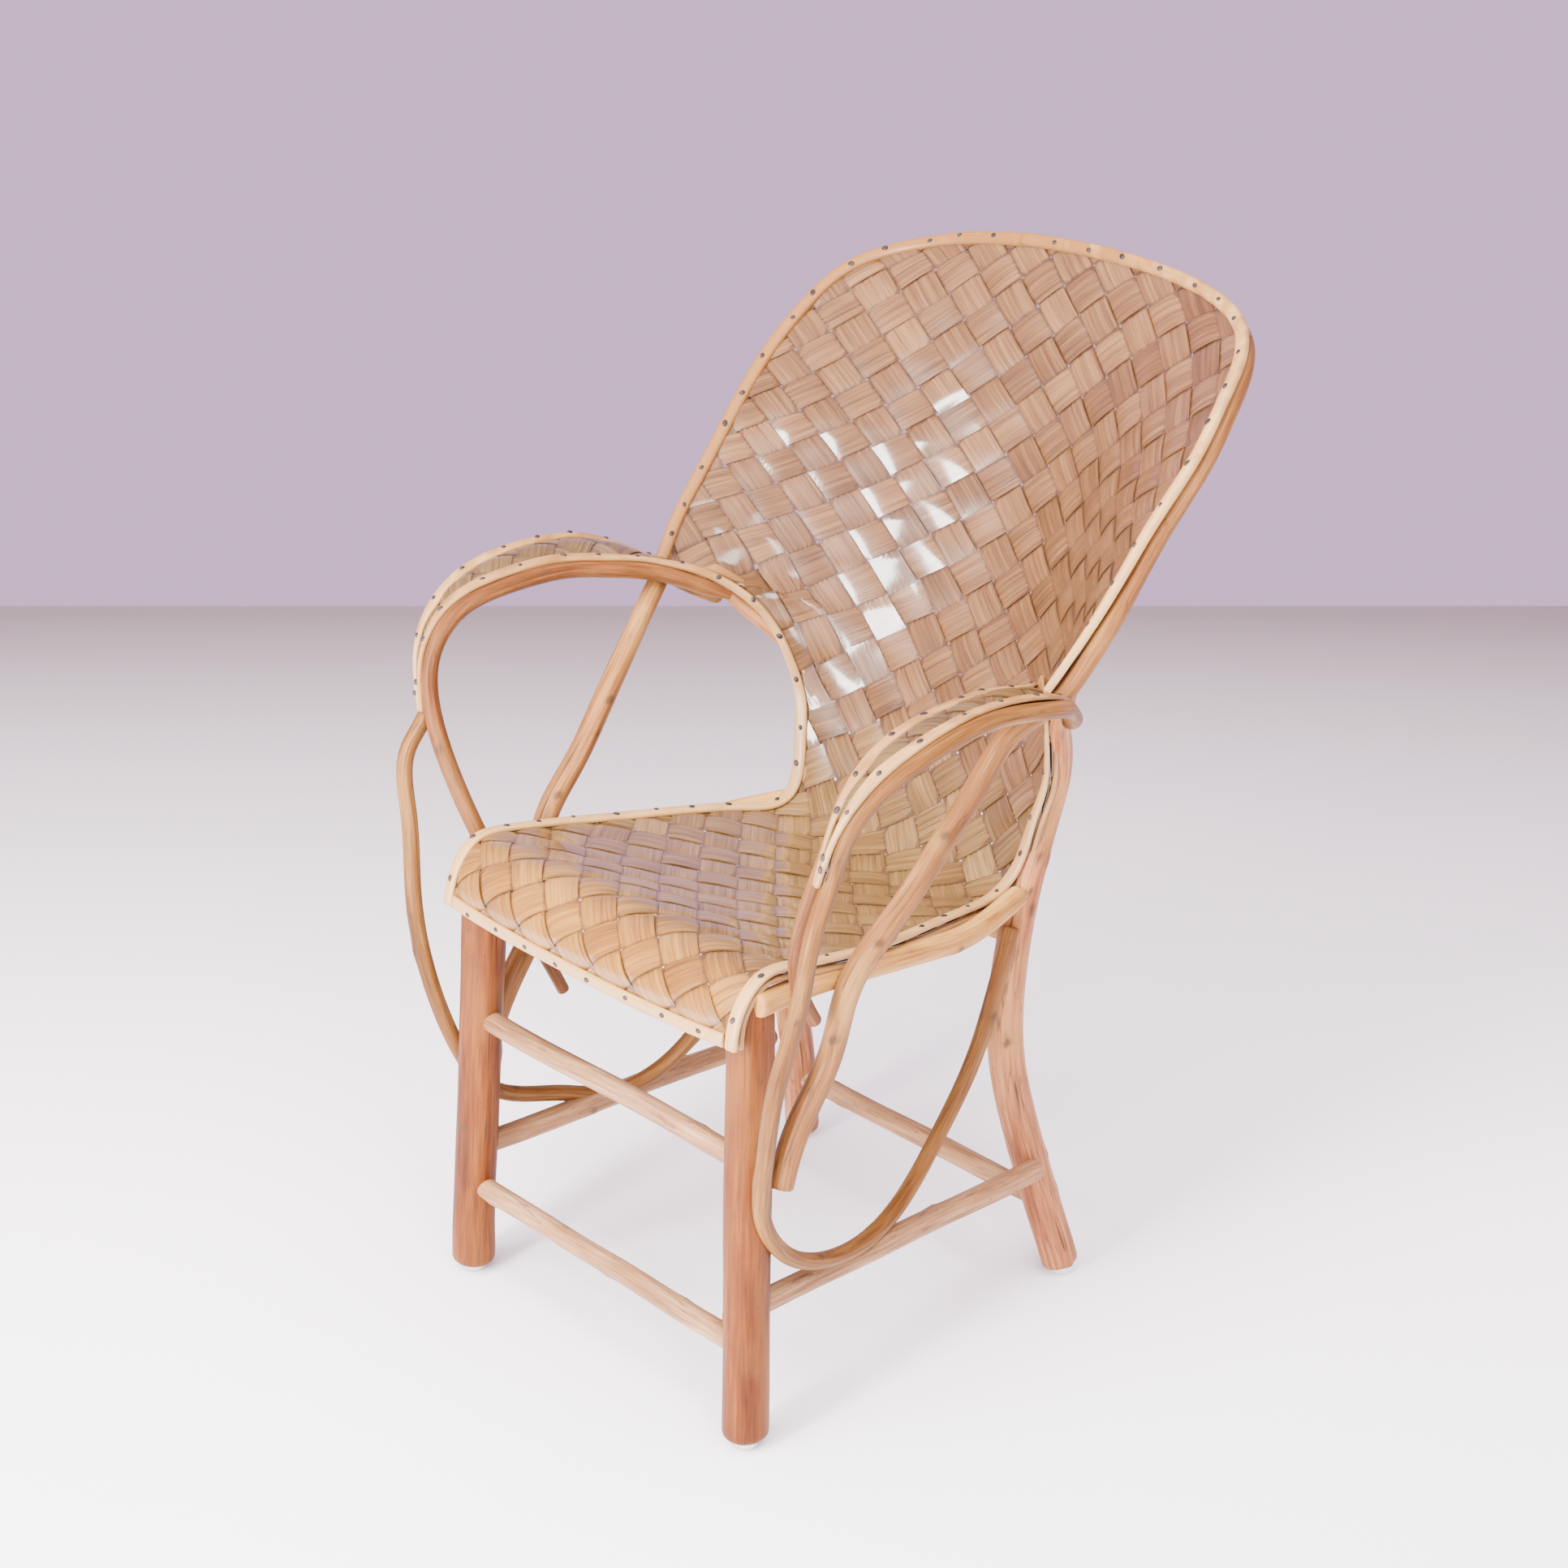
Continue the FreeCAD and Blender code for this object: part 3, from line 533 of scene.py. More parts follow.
    @staticmethod
    def hand_over(piece: Piece, finish: "Finish", nodes: Sequence[str] = ()) -> None:
        """Dress a piece, let it ride with the chair and stand for its nodes.

        Args:
            piece: the finished piece.
            finish: what it is finished with.
            nodes: names of the CAD nodes that it replaces.
        """
        piece.data.materials.clear()
        piece.data.materials.append(finish.material())
        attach(piece, "root")
        if nodes:
            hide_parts(*nodes)
        LOG.info("%s: %d faces", piece.name, len(piece.data.polygons))


# ---------------------------------------------------------------- finishes


class Shader:
    """The nodes of one material, wired by name."""

    def __init__(self, name: str) -> None:
        """Start a material with nothing but its output and its shader.

        Args:
            name: the material's name.
        """
        self.material = bpy.data.materials.new(name)
        self.material.use_nodes = True
        self.tree = self.material.node_tree
        self.tree.nodes.clear()
        self.surface = self.add("ShaderNodeBsdfPrincipled", {})
        output = self.add("ShaderNodeOutputMaterial", {})
        self.tree.links.new(self.surface.outputs[0], output.inputs[0])

    def add(self, kind: str, inputs: dict, **settings: object) -> bpy.types.Node:
        """Add a node.

        Args:
            kind: the node's type.
            inputs: sockets by name or number, each with a socket to link or a value to set.
            **settings: the node's own settings.

        Returns:
            The node.
        """
        node = self.tree.nodes.new(kind)
        for setting, value in settings.items():
            setattr(node, setting, value)
        self.wire(node, inputs)
        return node

    def wire(self, node: bpy.types.Node, inputs: dict) -> None:
        """Link or set a node's inputs.

        Args:
            node: the node.
            inputs: sockets by name or number, each with a socket to link or a value to set.
        """
        for socket, value in inputs.items():
            if isinstance(value, Socket):
                self.tree.links.new(value, node.inputs[socket])
            else:
                node.inputs[socket].default_value = value

    def finished(self, inputs: dict) -> bpy.types.Material:
        """Return the material, its surface wired to the inputs."""
        self.wire(self.surface, inputs)
        return self.material

    def grain(self) -> Socket:
        """Return lengths along and across the piece's own grain, in metres."""
        return self.add("ShaderNodeUVMap", {}).outputs[0]

    def spot(self) -> Socket:
        """Return the place on the chair, in metres."""
        return self.add("ShaderNodeTexCoord", {}).outputs["Object"]

    def mark(self, name: str) -> Socket:
        """Return the value of a named attribute."""
        return self.add("ShaderNodeAttribute", {}, attribute_name=name).outputs["Fac"]

    def maths(self, operation: str, first: object, second: object) -> Socket:
        """Return the outcome of a sum on two values."""
        return self.add("ShaderNodeMath", {0: first, 1: second}, operation=operation).outputs[0]

    def times(self, first: object, second: object) -> Socket:
        """Return one value times another."""
        return self.maths("MULTIPLY", first, second)

    def plus(self, first: object, second: object) -> Socket:
        """Return one value and another together."""
        return self.maths("ADD", first, second)

    def weighed(self, *parts: tuple[Socket, float]) -> Socket:
        """Return the sum of values, each of them times its weight.

        Args:
            *parts: the values with their weights.

        Returns:
            The sum.
        """
        total = self.times(*parts[0])
        for part in parts[1:]:
            total = self.plus(total, self.times(*part))
        return total

    def noise(
        self, source: Socket, scale: Point, shift: Optional[Socket], detail: float, rough: float,
    ) -> Socket:
        """Return soft noise over stretched coordinates.

        Args:
            source: the coordinates.
            scale: how often the noise turns along each of them, in a metre.
            shift: a value that moves the noise, so that no two pieces are alike.
            detail: the number of finer layers.
            rough: the strength of the finer layers.

        Returns:
            The noise, which stays near 0.5.
        """
        spread = self.add("ShaderNodeMapping", {"Vector": source, "Scale": scale}).outputs[0]
        if shift is not None:
            apart = self.add("ShaderNodeCombineXYZ", {"X": shift, "Y": shift, "Z": shift})
            moved = self.add("ShaderNodeVectorMath", {0: spread, 1: apart.outputs[0]})
            spread = moved.outputs[0]
        return self.add("ShaderNodeTexNoise", {
            "Vector": spread, "Scale": 1.0, "Detail": detail, "Roughness": rough}).outputs["Fac"]

    def ramp(self, source: Socket, stops: Sequence[tuple]) -> Socket:
        """Return colours or greys that follow a value.

        Args:
            source: the value.
            stops: places on the value's way from 0 to 1, each with its colour or grey.

        Returns:
            The colour.
        """
        node = self.add("ShaderNodeValToRGB", {"Fac": source})
        elements = node.color_ramp.elements
        while len(elements) < len(stops):
            elements.new(0.5)
        for element, (spot, colour) in zip(elements, stops):
            element.position = spot
            shade = colour if isinstance(colour, tuple) else (colour,) * 3
            element.color = (*shade, 1.0)
        return node.outputs["Color"]

    def between(self, value: object, low: float, high: float) -> Socket:
        """Return how far a value is from one bound to the other, held between 0 and 1."""
        bounds = {0: value, 1: low, 2: high, 3: 0.0, 4: 1.0}
        return self.add("ShaderNodeMapRange", bounds).outputs[0]

    def blend(self, share: Socket, first: object, second: object, kind: str = "MIX") -> Socket:
        """Return one colour laid over another.

        Args:
            share: how much of the second colour shows.
            first: the colour below.
            second: the colour above.
            kind: how the two are mixed.

        Returns:
            The colour.
        """
        below, above = [
            (*colour, 1.0) if isinstance(colour, tuple) else colour for colour in (first, second)]
        node = self.add(
            "ShaderNodeMix", {0: share, 6: below, 7: above}, data_type="RGBA", blend_type=kind)
        return node.outputs[2]

    def relief(self, height: Socket, distance: float, strength: float) -> Socket:
        """Return normals raised by a height, a distance in metres at full height."""
        return self.add("ShaderNodeBump", {
            "Height": height, "Distance": distance, "Strength": strength}).outputs[0]


@dataclass(frozen=True)
class Finish:
    """A finish that several pieces share."""

    name: str
    slot: str

    def material(self) -> bpy.types.Material:
        """Return the finish's material, made once."""
        found = bpy.data.materials.get(self.name)
        return found if found else self.mixed()

    def mixed(self) -> bpy.types.Material:
        """Return a new material of this finish."""
        raise NotImplementedError


@dataclass(frozen=True)
class PoleWood(Finish):
    """Debarked wood with streaks along the pole, patches, knots, cracks and bark in its hollows."""

    dark: Colour
    middle: Colour
    light: Colour
    patch: Colour
    bark_share: float
    bark: Colour = (0.050, 0.026, 0.014)
    patch_share: float = 0.45
    crack_share: float = 0.6
    roughness: float = 0.42

    def mixed(self) -> bpy.types.Material:
        """Return the wood's material.

        Returns:
            The material, which reads the marks tone, knot and gap.
        """
        shader = Shader(self.name)
        grain = shader.grain()
        apart = shader.times(shader.mark("tone"), 17.0)
        fine = shader.noise(grain, (18, 420, 1), apart, 4, 0.6)
        wide = shader.noise(grain, (6, 55, 1), apart, 3, 0.6)
        both = shader.weighed((fine, 0.45), (wide, 0.55))
        patches = shader.noise(shader.spot(), (9, 9, 7), apart, 3, 0.5)
        bark = shader.noise(grain, (26, 120, 1), apart, 5, 0.7)
        crack = shader.noise(grain, (2.6, 62, 1), apart, 2, 0.5)
        crack = shader.ramp(crack, [(0.494, 0.0), (0.5, self.crack_share), (0.506, 0.0)])
        waver = shader.times(shader.maths("SUBTRACT", wide, 0.5), 3.0)
        split = shader.between(shader.plus(shader.mark("gap"), waver), 1.5, 0.5)
        speck = shader.noise(grain, (230, 330, 1), apart, 2, 0.5)
        layers = (
            (shader.ramp(patches, [(0.52, 0.0), (0.66, self.patch_share)]), self.patch),
            (shader.ramp(bark, [(0.58, 0.0), (0.68, self.bark_share)]), self.bark),
            (crack, self.bark),
            (shader.times(split, 0.9), self.bark),
            (shader.ramp(speck, [(0.70, 0.0), (0.76, 0.55)]), self.dark),
            (shader.ramp(shader.mark("knot"), [(0.08, 0.0), (0.6, 0.75)]), self.bark),
        )
        colour = shader.ramp(both, [(0.34, self.dark), (0.5, self.middle), (0.64, self.light)])
        for share, tone in layers:
            colour = shader.blend(share, colour, tone)
        deep = shader.times(shader.maths("MAXIMUM", crack, split), 0.9)
        return shader.finished({
            "Base Color": colour,
            "Roughness": shader.ramp(both, [(0.3, self.roughness + 0.12), (0.7, self.roughness)]),
            "Normal": shader.relief(shader.maths("SUBTRACT", both, deep), 0.0011, 0.55),
            "Specular IOR Level": 0.12,
            "Coat Weight": 0.08,
            "Coat Roughness": 0.2,
        })


@dataclass(frozen=True)
class SplintWood(Finish):
    """Varnished splint, with fine grain along it and a tone of its own for each splint."""

    deep: Colour = (0.060, 0.024, 0.007)
    middle: Colour = (0.118, 0.052, 0.018)
    pale: Colour = (0.190, 0.093, 0.037)
    # Colour of the grain's dark streaks, and also of the painted shade in the weave's crevices
    streak: Colour = (0.030, 0.011, 0.004)
    lip_tint: Colour = (1.0, 1.0, 1.0)
    seat_tint: Colour = (1.0, 1.0, 1.0)
    # Painted shade laid on the right part of the back
    painted_shade_tint: Colour = (1.0, 1.0, 1.0)

    def tinted(self, shader: Shader, colour: Socket, spot: Socket) -> Socket:
        """Return the colour made brighter and yellower on the lip, lighter and greener on the seat,
        and darker with painted shade on the right part of the back.

        Args:
            shader: the nodes of the splints' material.
            colour: the splints' colour.
            spot: the place on the chair, in metres.

        Returns:
            The tinted colour.
        """
        parts = shader.add("ShaderNodeSeparateXYZ", {0: spot})
        across, back, up = [parts.outputs[axis] for axis in ("X", "Y", "Z")]
        seat = shader.times(shader.between(up, 0.52, 0.46), shader.between(back, -0.30, -0.25))
        # Painted shade: the right part of the back, above the seat, is darkened by the last tint
        shade = shader.times(shader.between(across, 0.02, 0.16), shader.between(up, 0.52, 0.62))
        tints = (
            (shader.between(back, -0.255, -0.305), self.lip_tint),
            (seat, self.seat_tint),
            (shade, self.painted_shade_tint),
        )
        for share, tint in tints:
            colour = shader.blend(share, colour, tint, "MULTIPLY")
        return colour

    def mixed(self) -> bpy.types.Material:
        """Return the splints' material.

        Returns:
            The material, which reads the mark tone and the mark of painted shade where a splint
            dives under its neighbour and along its sides.
        """
        shader = Shader(self.name)
        grain, spot, tone = shader.grain(), shader.spot(), shader.mark("tone")
        apart = shader.times(tone, 31.0)
        fine = shader.noise(grain, (14, 1500, 1), apart, 3, 0.6)
        band = shader.noise(grain, (7, 230, 1), apart, 3, 0.55)
        cloud = shader.noise(spot, (11, 11, 11), apart, 2, 0.5)
        both = shader.weighed((fine, 0.36), (band, 0.34), (tone, 0.08), (cloud, 0.22))
        colour = shader.ramp(both, [(0.38, self.deep), (0.5, self.middle), (0.62, self.pale)])
        streak = shader.noise(grain, (8, 420, 1), apart, 4, 0.65)
        streak = shader.ramp(streak, [(0.56, 0.0), (0.68, 0.7)])
        colour = self.tinted(shader, shader.blend(streak, colour, self.streak), spot)
        # Painted shade: the splints darken towards the streak colour where they dive under a
        # neighbour and along their sides
        crevice_shade = shader.times(shader.between(shader.mark("crevice_shade"), 0.58, 1.0), 0.8)
        return shader.finished({
            "Base Color": shader.blend(crevice_shade, colour, self.streak),
            "Roughness": shader.ramp(fine, [(0.3, 0.40), (0.7, 0.28)]),
            "Normal": shader.relief(shader.plus(fine, band), 0.0009, 0.45),
            "Specular IOR Level": 0.3,
            "Coat Weight": 0.85,
            "Coat Roughness": 0.13,
        })


@dataclass(frozen=True)
class RimWood(Finish):
    """Split rod of the rims, pale inside wood with a little grain and golden stretches."""

    pale: Colour = (0.45, 0.25, 0.088)
    golden: Colour = (0.215, 0.088, 0.017)
    line: Colour = (0.12, 0.045, 0.012)

    def mixed(self) -> bpy.types.Material:
        """Return the rims' material.

        Returns:
            The material, which reads the mark tone.
        """
        shader = Shader(self.name)
        grain, tone = shader.grain(), shader.mark("tone")
        apart = shader.times(tone, 23.0)
        fine = shader.noise(grain, (16, 700, 1), apart, 3, 0.6)
        wide = shader.noise(grain, (9, 40, 1), apart, 2, 0.5)
        share = shader.plus(shader.times(wide, 0.8), shader.maths("SUBTRACT", tone, 0.4))
        share = shader.ramp(share, [(0.25, 0.0), (0.75, 1.0)])
        colour = shader.blend(share, self.pale, self.golden)
        return shader.finished({
            "Base Color": shader.blend(
                shader.ramp(fine, [(0.30, 0.45), (0.46, 0.0)]), colour, self.line),
            "Roughness": shader.ramp(fine, [(0.3, 0.5), (0.7, 0.38)]),
            "Normal": shader.relief(fine, 0.0005, 0.4),
            "Coat Weight": 0.25,
            "Coat Roughness": 0.3,
        })


@dataclass(frozen=True)
class Metal(Finish):
    """Mottled metal: dull, rusty iron on the nails and scuffed chrome on the glides."""

    metallic: float
    scale: Point
    detail: float
    tones: tuple
    roughness: tuple

    def mixed(self) -> bpy.types.Material:
        """Return the metal's material.

        Returns:
            The material, mottled by the place on the chair.
        """
        shader = Shader(self.name)
        mottle = shader.noise(shader.spot(), self.scale, None, self.detail, 0.6)
        return shader.finished({
            "Base Color": shader.ramp(mottle, self.tones),
            "Metallic": self.metallic,
            "Roughness": shader.ramp(mottle, self.roughness),
        })


@dataclass(frozen=True)
class FloorPaint(Finish):
    """Plain pale studio floor, paler towards the camera: painted shade darkens it with the
    distance.
    """

    near: Colour = (0.93, 0.92, 0.91)
    middle: Colour = (0.95, 0.90, 0.91)
    # Painted shade at the floor's far side
    far: Colour = (0.21, 0.165, 0.165)
    turn: float = 48.04

    def mixed(self) -> bpy.types.Material:
        """Return the floor's material.

        Returns:
            The material, whose painted shade darkens it with the distance from the camera's side.
        """
        shader = Shader(self.name)
        turned = shader.add("ShaderNodeMapping", {
            "Vector": shader.spot(), "Rotation": (0, 0, math.radians(-self.turn))}).outputs[0]
        depth = shader.add("ShaderNodeSeparateXYZ", {0: turned}).outputs["Y"]
        # Painted shade: the floor darkens from the near colour to the far one, away from the camera
        stops = [(0.0, self.near), (0.25, self.middle), (1.0, self.far)]
        return shader.finished({
            "Base Color": shader.ramp(shader.between(depth, -0.6, 2.0), stops),
            "Roughness": 0.75,
        })


FRONT_LEG_WOOD = PoleWood(
    "front_leg_wood", "leg_pole", dark=(0.055, 0.010, 0.0015), middle=(0.118, 0.028, 0.0035),
    light=(0.18, 0.055, 0.008), patch=(0.20, 0.070, 0.012), bark_share=0.4)
BACK_POLE_WOOD = PoleWood(
    "back_pole_wood", "back_pole", dark=(0.15, 0.042, 0.014), middle=(0.30, 0.105, 0.037),
    light=(0.47, 0.205, 0.075), patch=(0.48, 0.24, 0.07), bark_share=0.5)
HOOP_WOOD = PoleWood(
    "hoop_pole_wood", "back_pole", dark=(0.105, 0.035, 0.008), middle=(0.205, 0.080, 0.022),
    light=(0.33, 0.15, 0.048), patch=(0.40, 0.22, 0.062), bark_share=0.3)
RAIL_WOOD = PoleWood(
    "side_rail_wood", "stretcher", dark=(0.22, 0.085, 0.018), middle=(0.42, 0.195, 0.045),
    light=(0.52, 0.29, 0.08), patch=(0.52, 0.28, 0.09), bark_share=0.15, crack_share=0.2)
STRETCHER_WOOD = PoleWood(
    "stretcher_wood", "stretcher", dark=(0.14, 0.062, 0.025), middle=(0.29, 0.143, 0.066),
    light=(0.42, 0.25, 0.13), patch=(0.24, 0.11, 0.05), bark_share=0.6, bark=(0.07, 0.045, 0.032))
ROD_WOOD = PoleWood(
    "bent_rod_wood", "bent_rod", dark=(0.062, 0.020, 0.004), middle=(0.145, 0.056, 0.012),
    light=(0.25, 0.115, 0.029), patch=(0.17, 0.058, 0.015), bark_share=0.5)
INNER_ROD_WOOD = PoleWood(
    "inner_rod_wood", "bent_rod", dark=(0.058, 0.015, 0.004), middle=(0.125, 0.040, 0.010),
    light=(0.22, 0.090, 0.026), patch=(0.19, 0.083, 0.022), bark_share=0.45)
# The splints' last tint is painted shade on the right part of the back
SPLINT = SplintWood(
    "splint_wood", "splint", lip_tint=(1.75, 1.62, 0.65), seat_tint=(1.10, 1.27, 1.05),
    painted_shade_tint=(0.92, 0.86, 0.80))
ARM_SPLINT = SplintWood(
    "arm_splint_wood", "splint", deep=(0.047, 0.022, 0.005), middle=(0.098, 0.053, 0.014),
    pale=(0.15, 0.092, 0.033))
RIM = RimWood("rim_wood", "rim")
NAIL = Metal(
    "nail_iron", "glide", 0.6, (260, 260, 260), 3,
    tones=((0.35, (0.030, 0.024, 0.024)), (0.7, (0.090, 0.070, 0.062))),
    roughness=((0.3, 0.42), (0.7, 0.62)))
CHROME = Metal(
    "glide_chrome", "glide", 1.0, (300, 300, 900), 4,
    tones=((0.3, (0.62, 0.62, 0.63)), (0.7, (0.78, 0.78, 0.79))),
    roughness=((0.4, 0.12), (0.75, 0.30)))
FLOOR = FloorPaint("floor_paint", "")


# ---------------------------------------------------------------- the woven sheet


class SheetFace:
    """The visible face of the seat and back, one bent surface with lengths measured on it.

    Rows run across the chair. A place is (along, across) in millimetres: along runs up the middle
    from the lip's lower edge, and across is measured along a row from the middle.
    """

    ROWS = 561
    COLUMNS = 181
    CORNER_REACH = 50.0
    CORNER_ROOM = 11.0

    def __init__(self) -> None:
        """Work out the surface."""
        table = np.array(SHEET_SHARES)
        edges = places(SHEET_SHARES)
        middles = places([(0.0, *row[3:5]) for row in SHEET_SHARES])
        knots = run_lengths(middles)
        self.knots = knots
        rows = np.linspace(0, knots[-1], self.ROWS)
        lower, upper = slice(0, WAIST_TOP_ROW + 1), slice(HOOP_ROW, len(table))
        edge = SmoothCurve(knots[lower], edges[lower]).at(rows)
        over = SmoothCurve(knots[upper], edges[upper]).at(rows)
        share = (rows - knots[WAIST_TOP_ROW]) / (knots[HOOP_ROW] - knots[WAIST_TOP_ROW])
        edge += np.clip(share, 0, 1)[:, None] * (over - edge)
        middle = SmoothCurve(knots, middles).at(rows)
        fullness, bell, square = [
            np.interp(rows, knots, table[:, column])[:, None] for column in (5, 6, 7)]
        across = np.linspace(-1, 1, self.COLUMNS)[None, :]
        dish = 1 - np.abs(across) ** fullness
        full = dish + bell * ((1 + np.cos(np.pi * across)) / 2 - dish)
        depth = full + square * (1 - np.abs(across) ** SQUARE_FULLNESS - full)
        rise = full + square * ((1 - np.abs(across) ** TOP_FULLNESS) ** TOP_ROUNDNESS - full)
        self.places = np.stack([
            across * edge[:, :1],
            edge[:, 1:2] + depth * (middle[:, 1:2] - edge[:, 1:2]),
            edge[:, 2:3] + rise * (middle[:, 2:3] - edge[:, 2:3]),
        ], axis=-1)
        normals = unit(np.cross(np.gradient(self.places, axis=1), np.gradient(self.places, axis=0)))
        self.normals = normals * np.sign(normals[self.ROWS // 4, self.COLUMNS // 2, 2])
        face = self.places - self.normals * SHEET_TOP
        self.lengths = run_lengths(face[:, self.COLUMNS // 2])
        steps = np.linalg.norm(np.diff(face, axis=1), axis=2)
        widths = np.concatenate([np.zeros((self.ROWS, 1)), np.cumsum(steps, axis=1)], axis=1)
        self.widths = widths - widths[:, self.COLUMNS // 2:self.COLUMNS // 2 + 1]

    @property
    def length(self) -> float:
        """Return the sheet's whole length along its middle."""
        return float(self.lengths[-1])

    def half_width(self, lengths: Array) -> Array:
        """Return the half width of the sheet at places along it."""
        return np.interp(lengths, self.lengths, self.widths[:, -1])

    def contains(self, lengths: Array, across: Array, margin: float) -> Array:
        """Return whether places lie on the sheet.

        Args:
            lengths: places along the sheet.
            across: places across it.
            margin: room that they keep from its edge, and more near the top's corners.

        Returns:
            True for each place that does.
        """
        half = self.half_width(lengths)
        high = np.clip((lengths - self.length + self.CORNER_REACH) / self.CORNER_REACH, 0, 1)
        wide = np.clip((np.abs(across) / half - 0.7) / 0.3, 0, 1)
        room = margin + self.CORNER_ROOM * (high * wide)
        return (lengths > margin) & (lengths < self.length - room) & (np.abs(across) < half - room)

    def locate(self, lengths: Array, across: Array) -> tuple[Array, Array]:
        """Return where places on the sheet lie in its grid.

        Args:
            lengths: places along the sheet.
            across: places across it.

        Returns:
            Row numbers and column numbers, with fractions.
        """
        row = np.interp(lengths, self.lengths, np.arange(self.ROWS))
        low = np.clip(row.astype(int), 0, self.ROWS - 2)
        share = (row - low)[:, None]
        widths = self.widths[low] * (1 - share) + self.widths[low + 1] * share
        column = np.clip((widths < across[:, None]).sum(axis=1) - 1, 0, self.COLUMNS - 2)
        spots = np.arange(len(column))
        before, after = widths[spots, column], widths[spots, column + 1]
        return row, column + np.clip((across - before) / (after - before), 0, 1)

    def sample(self, row: Array, column: Array) -> tuple[Array, Array]:
        """Return the surface at places of its grid.

        Args:
            row: row numbers, with fractions.
            column: column numbers, with fractions.

        Returns:
            The points and the normals there.
        """
        low = np.clip(row.astype(int), 0, self.ROWS - 2)
        left = np.clip(column.astype(int), 0, self.COLUMNS - 2)
        down, side = (row - low)[:, None], (column - left)[:, None]
        found = []
        for grid in (self.places, self.normals):
            first = grid[low, left] * (1 - side) + grid[low, left + 1] * side
            second = grid[low + 1, left] * (1 - side) + grid[low + 1, left + 1] * side
            found.append(first * (1 - down) + second * down)
        return found[0], unit(found[1])

    def at(self, lengths: Array, across: Array, depth: Array) -> Array:
        """Return points of the sheet.

        Args:
            lengths: places along the sheet.
            across: places across it.
            depth: how far below the rims' upper face they lie.

        Returns:
            The points in millimetres.
        """
        shape = lengths.shape
        spots, normals = self.sample(*self.locate(lengths.ravel(), across.ravel()))
        return (spots - normals * np.ravel(depth)[:, None]).reshape(*shape, 3)


@dataclass(frozen=True)
class Lattice:
    """Where the corners of the weave's cells lie on the seat and back.

    A corner has two whole numbers, one for each family of splints. Their sum grows up the sheet
    and their difference grows to one side.
    """

    along_start: float = 21.15
    along_step: float = 24.28
    across_start: float = -31.68
    across_step: float = 27.21
    bow_places: tuple = (0.0, 250.0, 420.0, 560.0, 700.0, 900.0)
    bows: tuple = (0.0, 6.98, 5.47, 10.99, 12.4, -1.99)
    bow_width: float = 150.0
    pitch: float = 36.4

    def spread(self, first: Array, second: Array) -> tuple[Array, Array]:
        """Return where the corners of the cells lie on the sheet.

        Args:
            first: the corners' numbers in the family that rises to the right.
            second: their numbers in the other family.

        Returns:
            Places along the sheet and across it.
        """
        across = self.across_start + self.across_step * (second - first - 3)
        level = self.along_start + self.along_step * (first + second - 1)
        lengths = level
        for _ in range(4):
            bow = np.interp(lengths, self.bow_places, self.bows)
            lengths = level + bow * (across / self.bow_width) ** 2
        return lengths, across


@dataclass(frozen=True)
class ArmLattice:
    """Where the corners of the weave's cells lie on an arm, whose face is (along, across)."""

    pitch: float = 34.0
    start: float = 11.0

    def spread(self, first: Array, second: Array) -> tuple[Array, Array]:
        """Return (along, across) on the arm of corners numbered in both families."""
        step = self.pitch / math.sqrt(2)
        return self.start + step * (first + second), step * (second - first)


def inside_runs(inside: Array, places: Array) -> list[tuple[float, float]]:
    """Find the stretches of places that lie inside.

    Args:
        inside: whether each place lies inside.
        places: the growing places.

    Returns:
        The (start, end) of each stretch.
    """
    padded = np.concatenate([[False], inside, [False]]).astype(int)
    starts = np.flatnonzero(np.diff(padded) == 1)
    ends = np.flatnonzero(np.diff(padded) == -1) - 1
    return [(places[start], places[end]) for start, end in zip(starts, ends) if end > start]


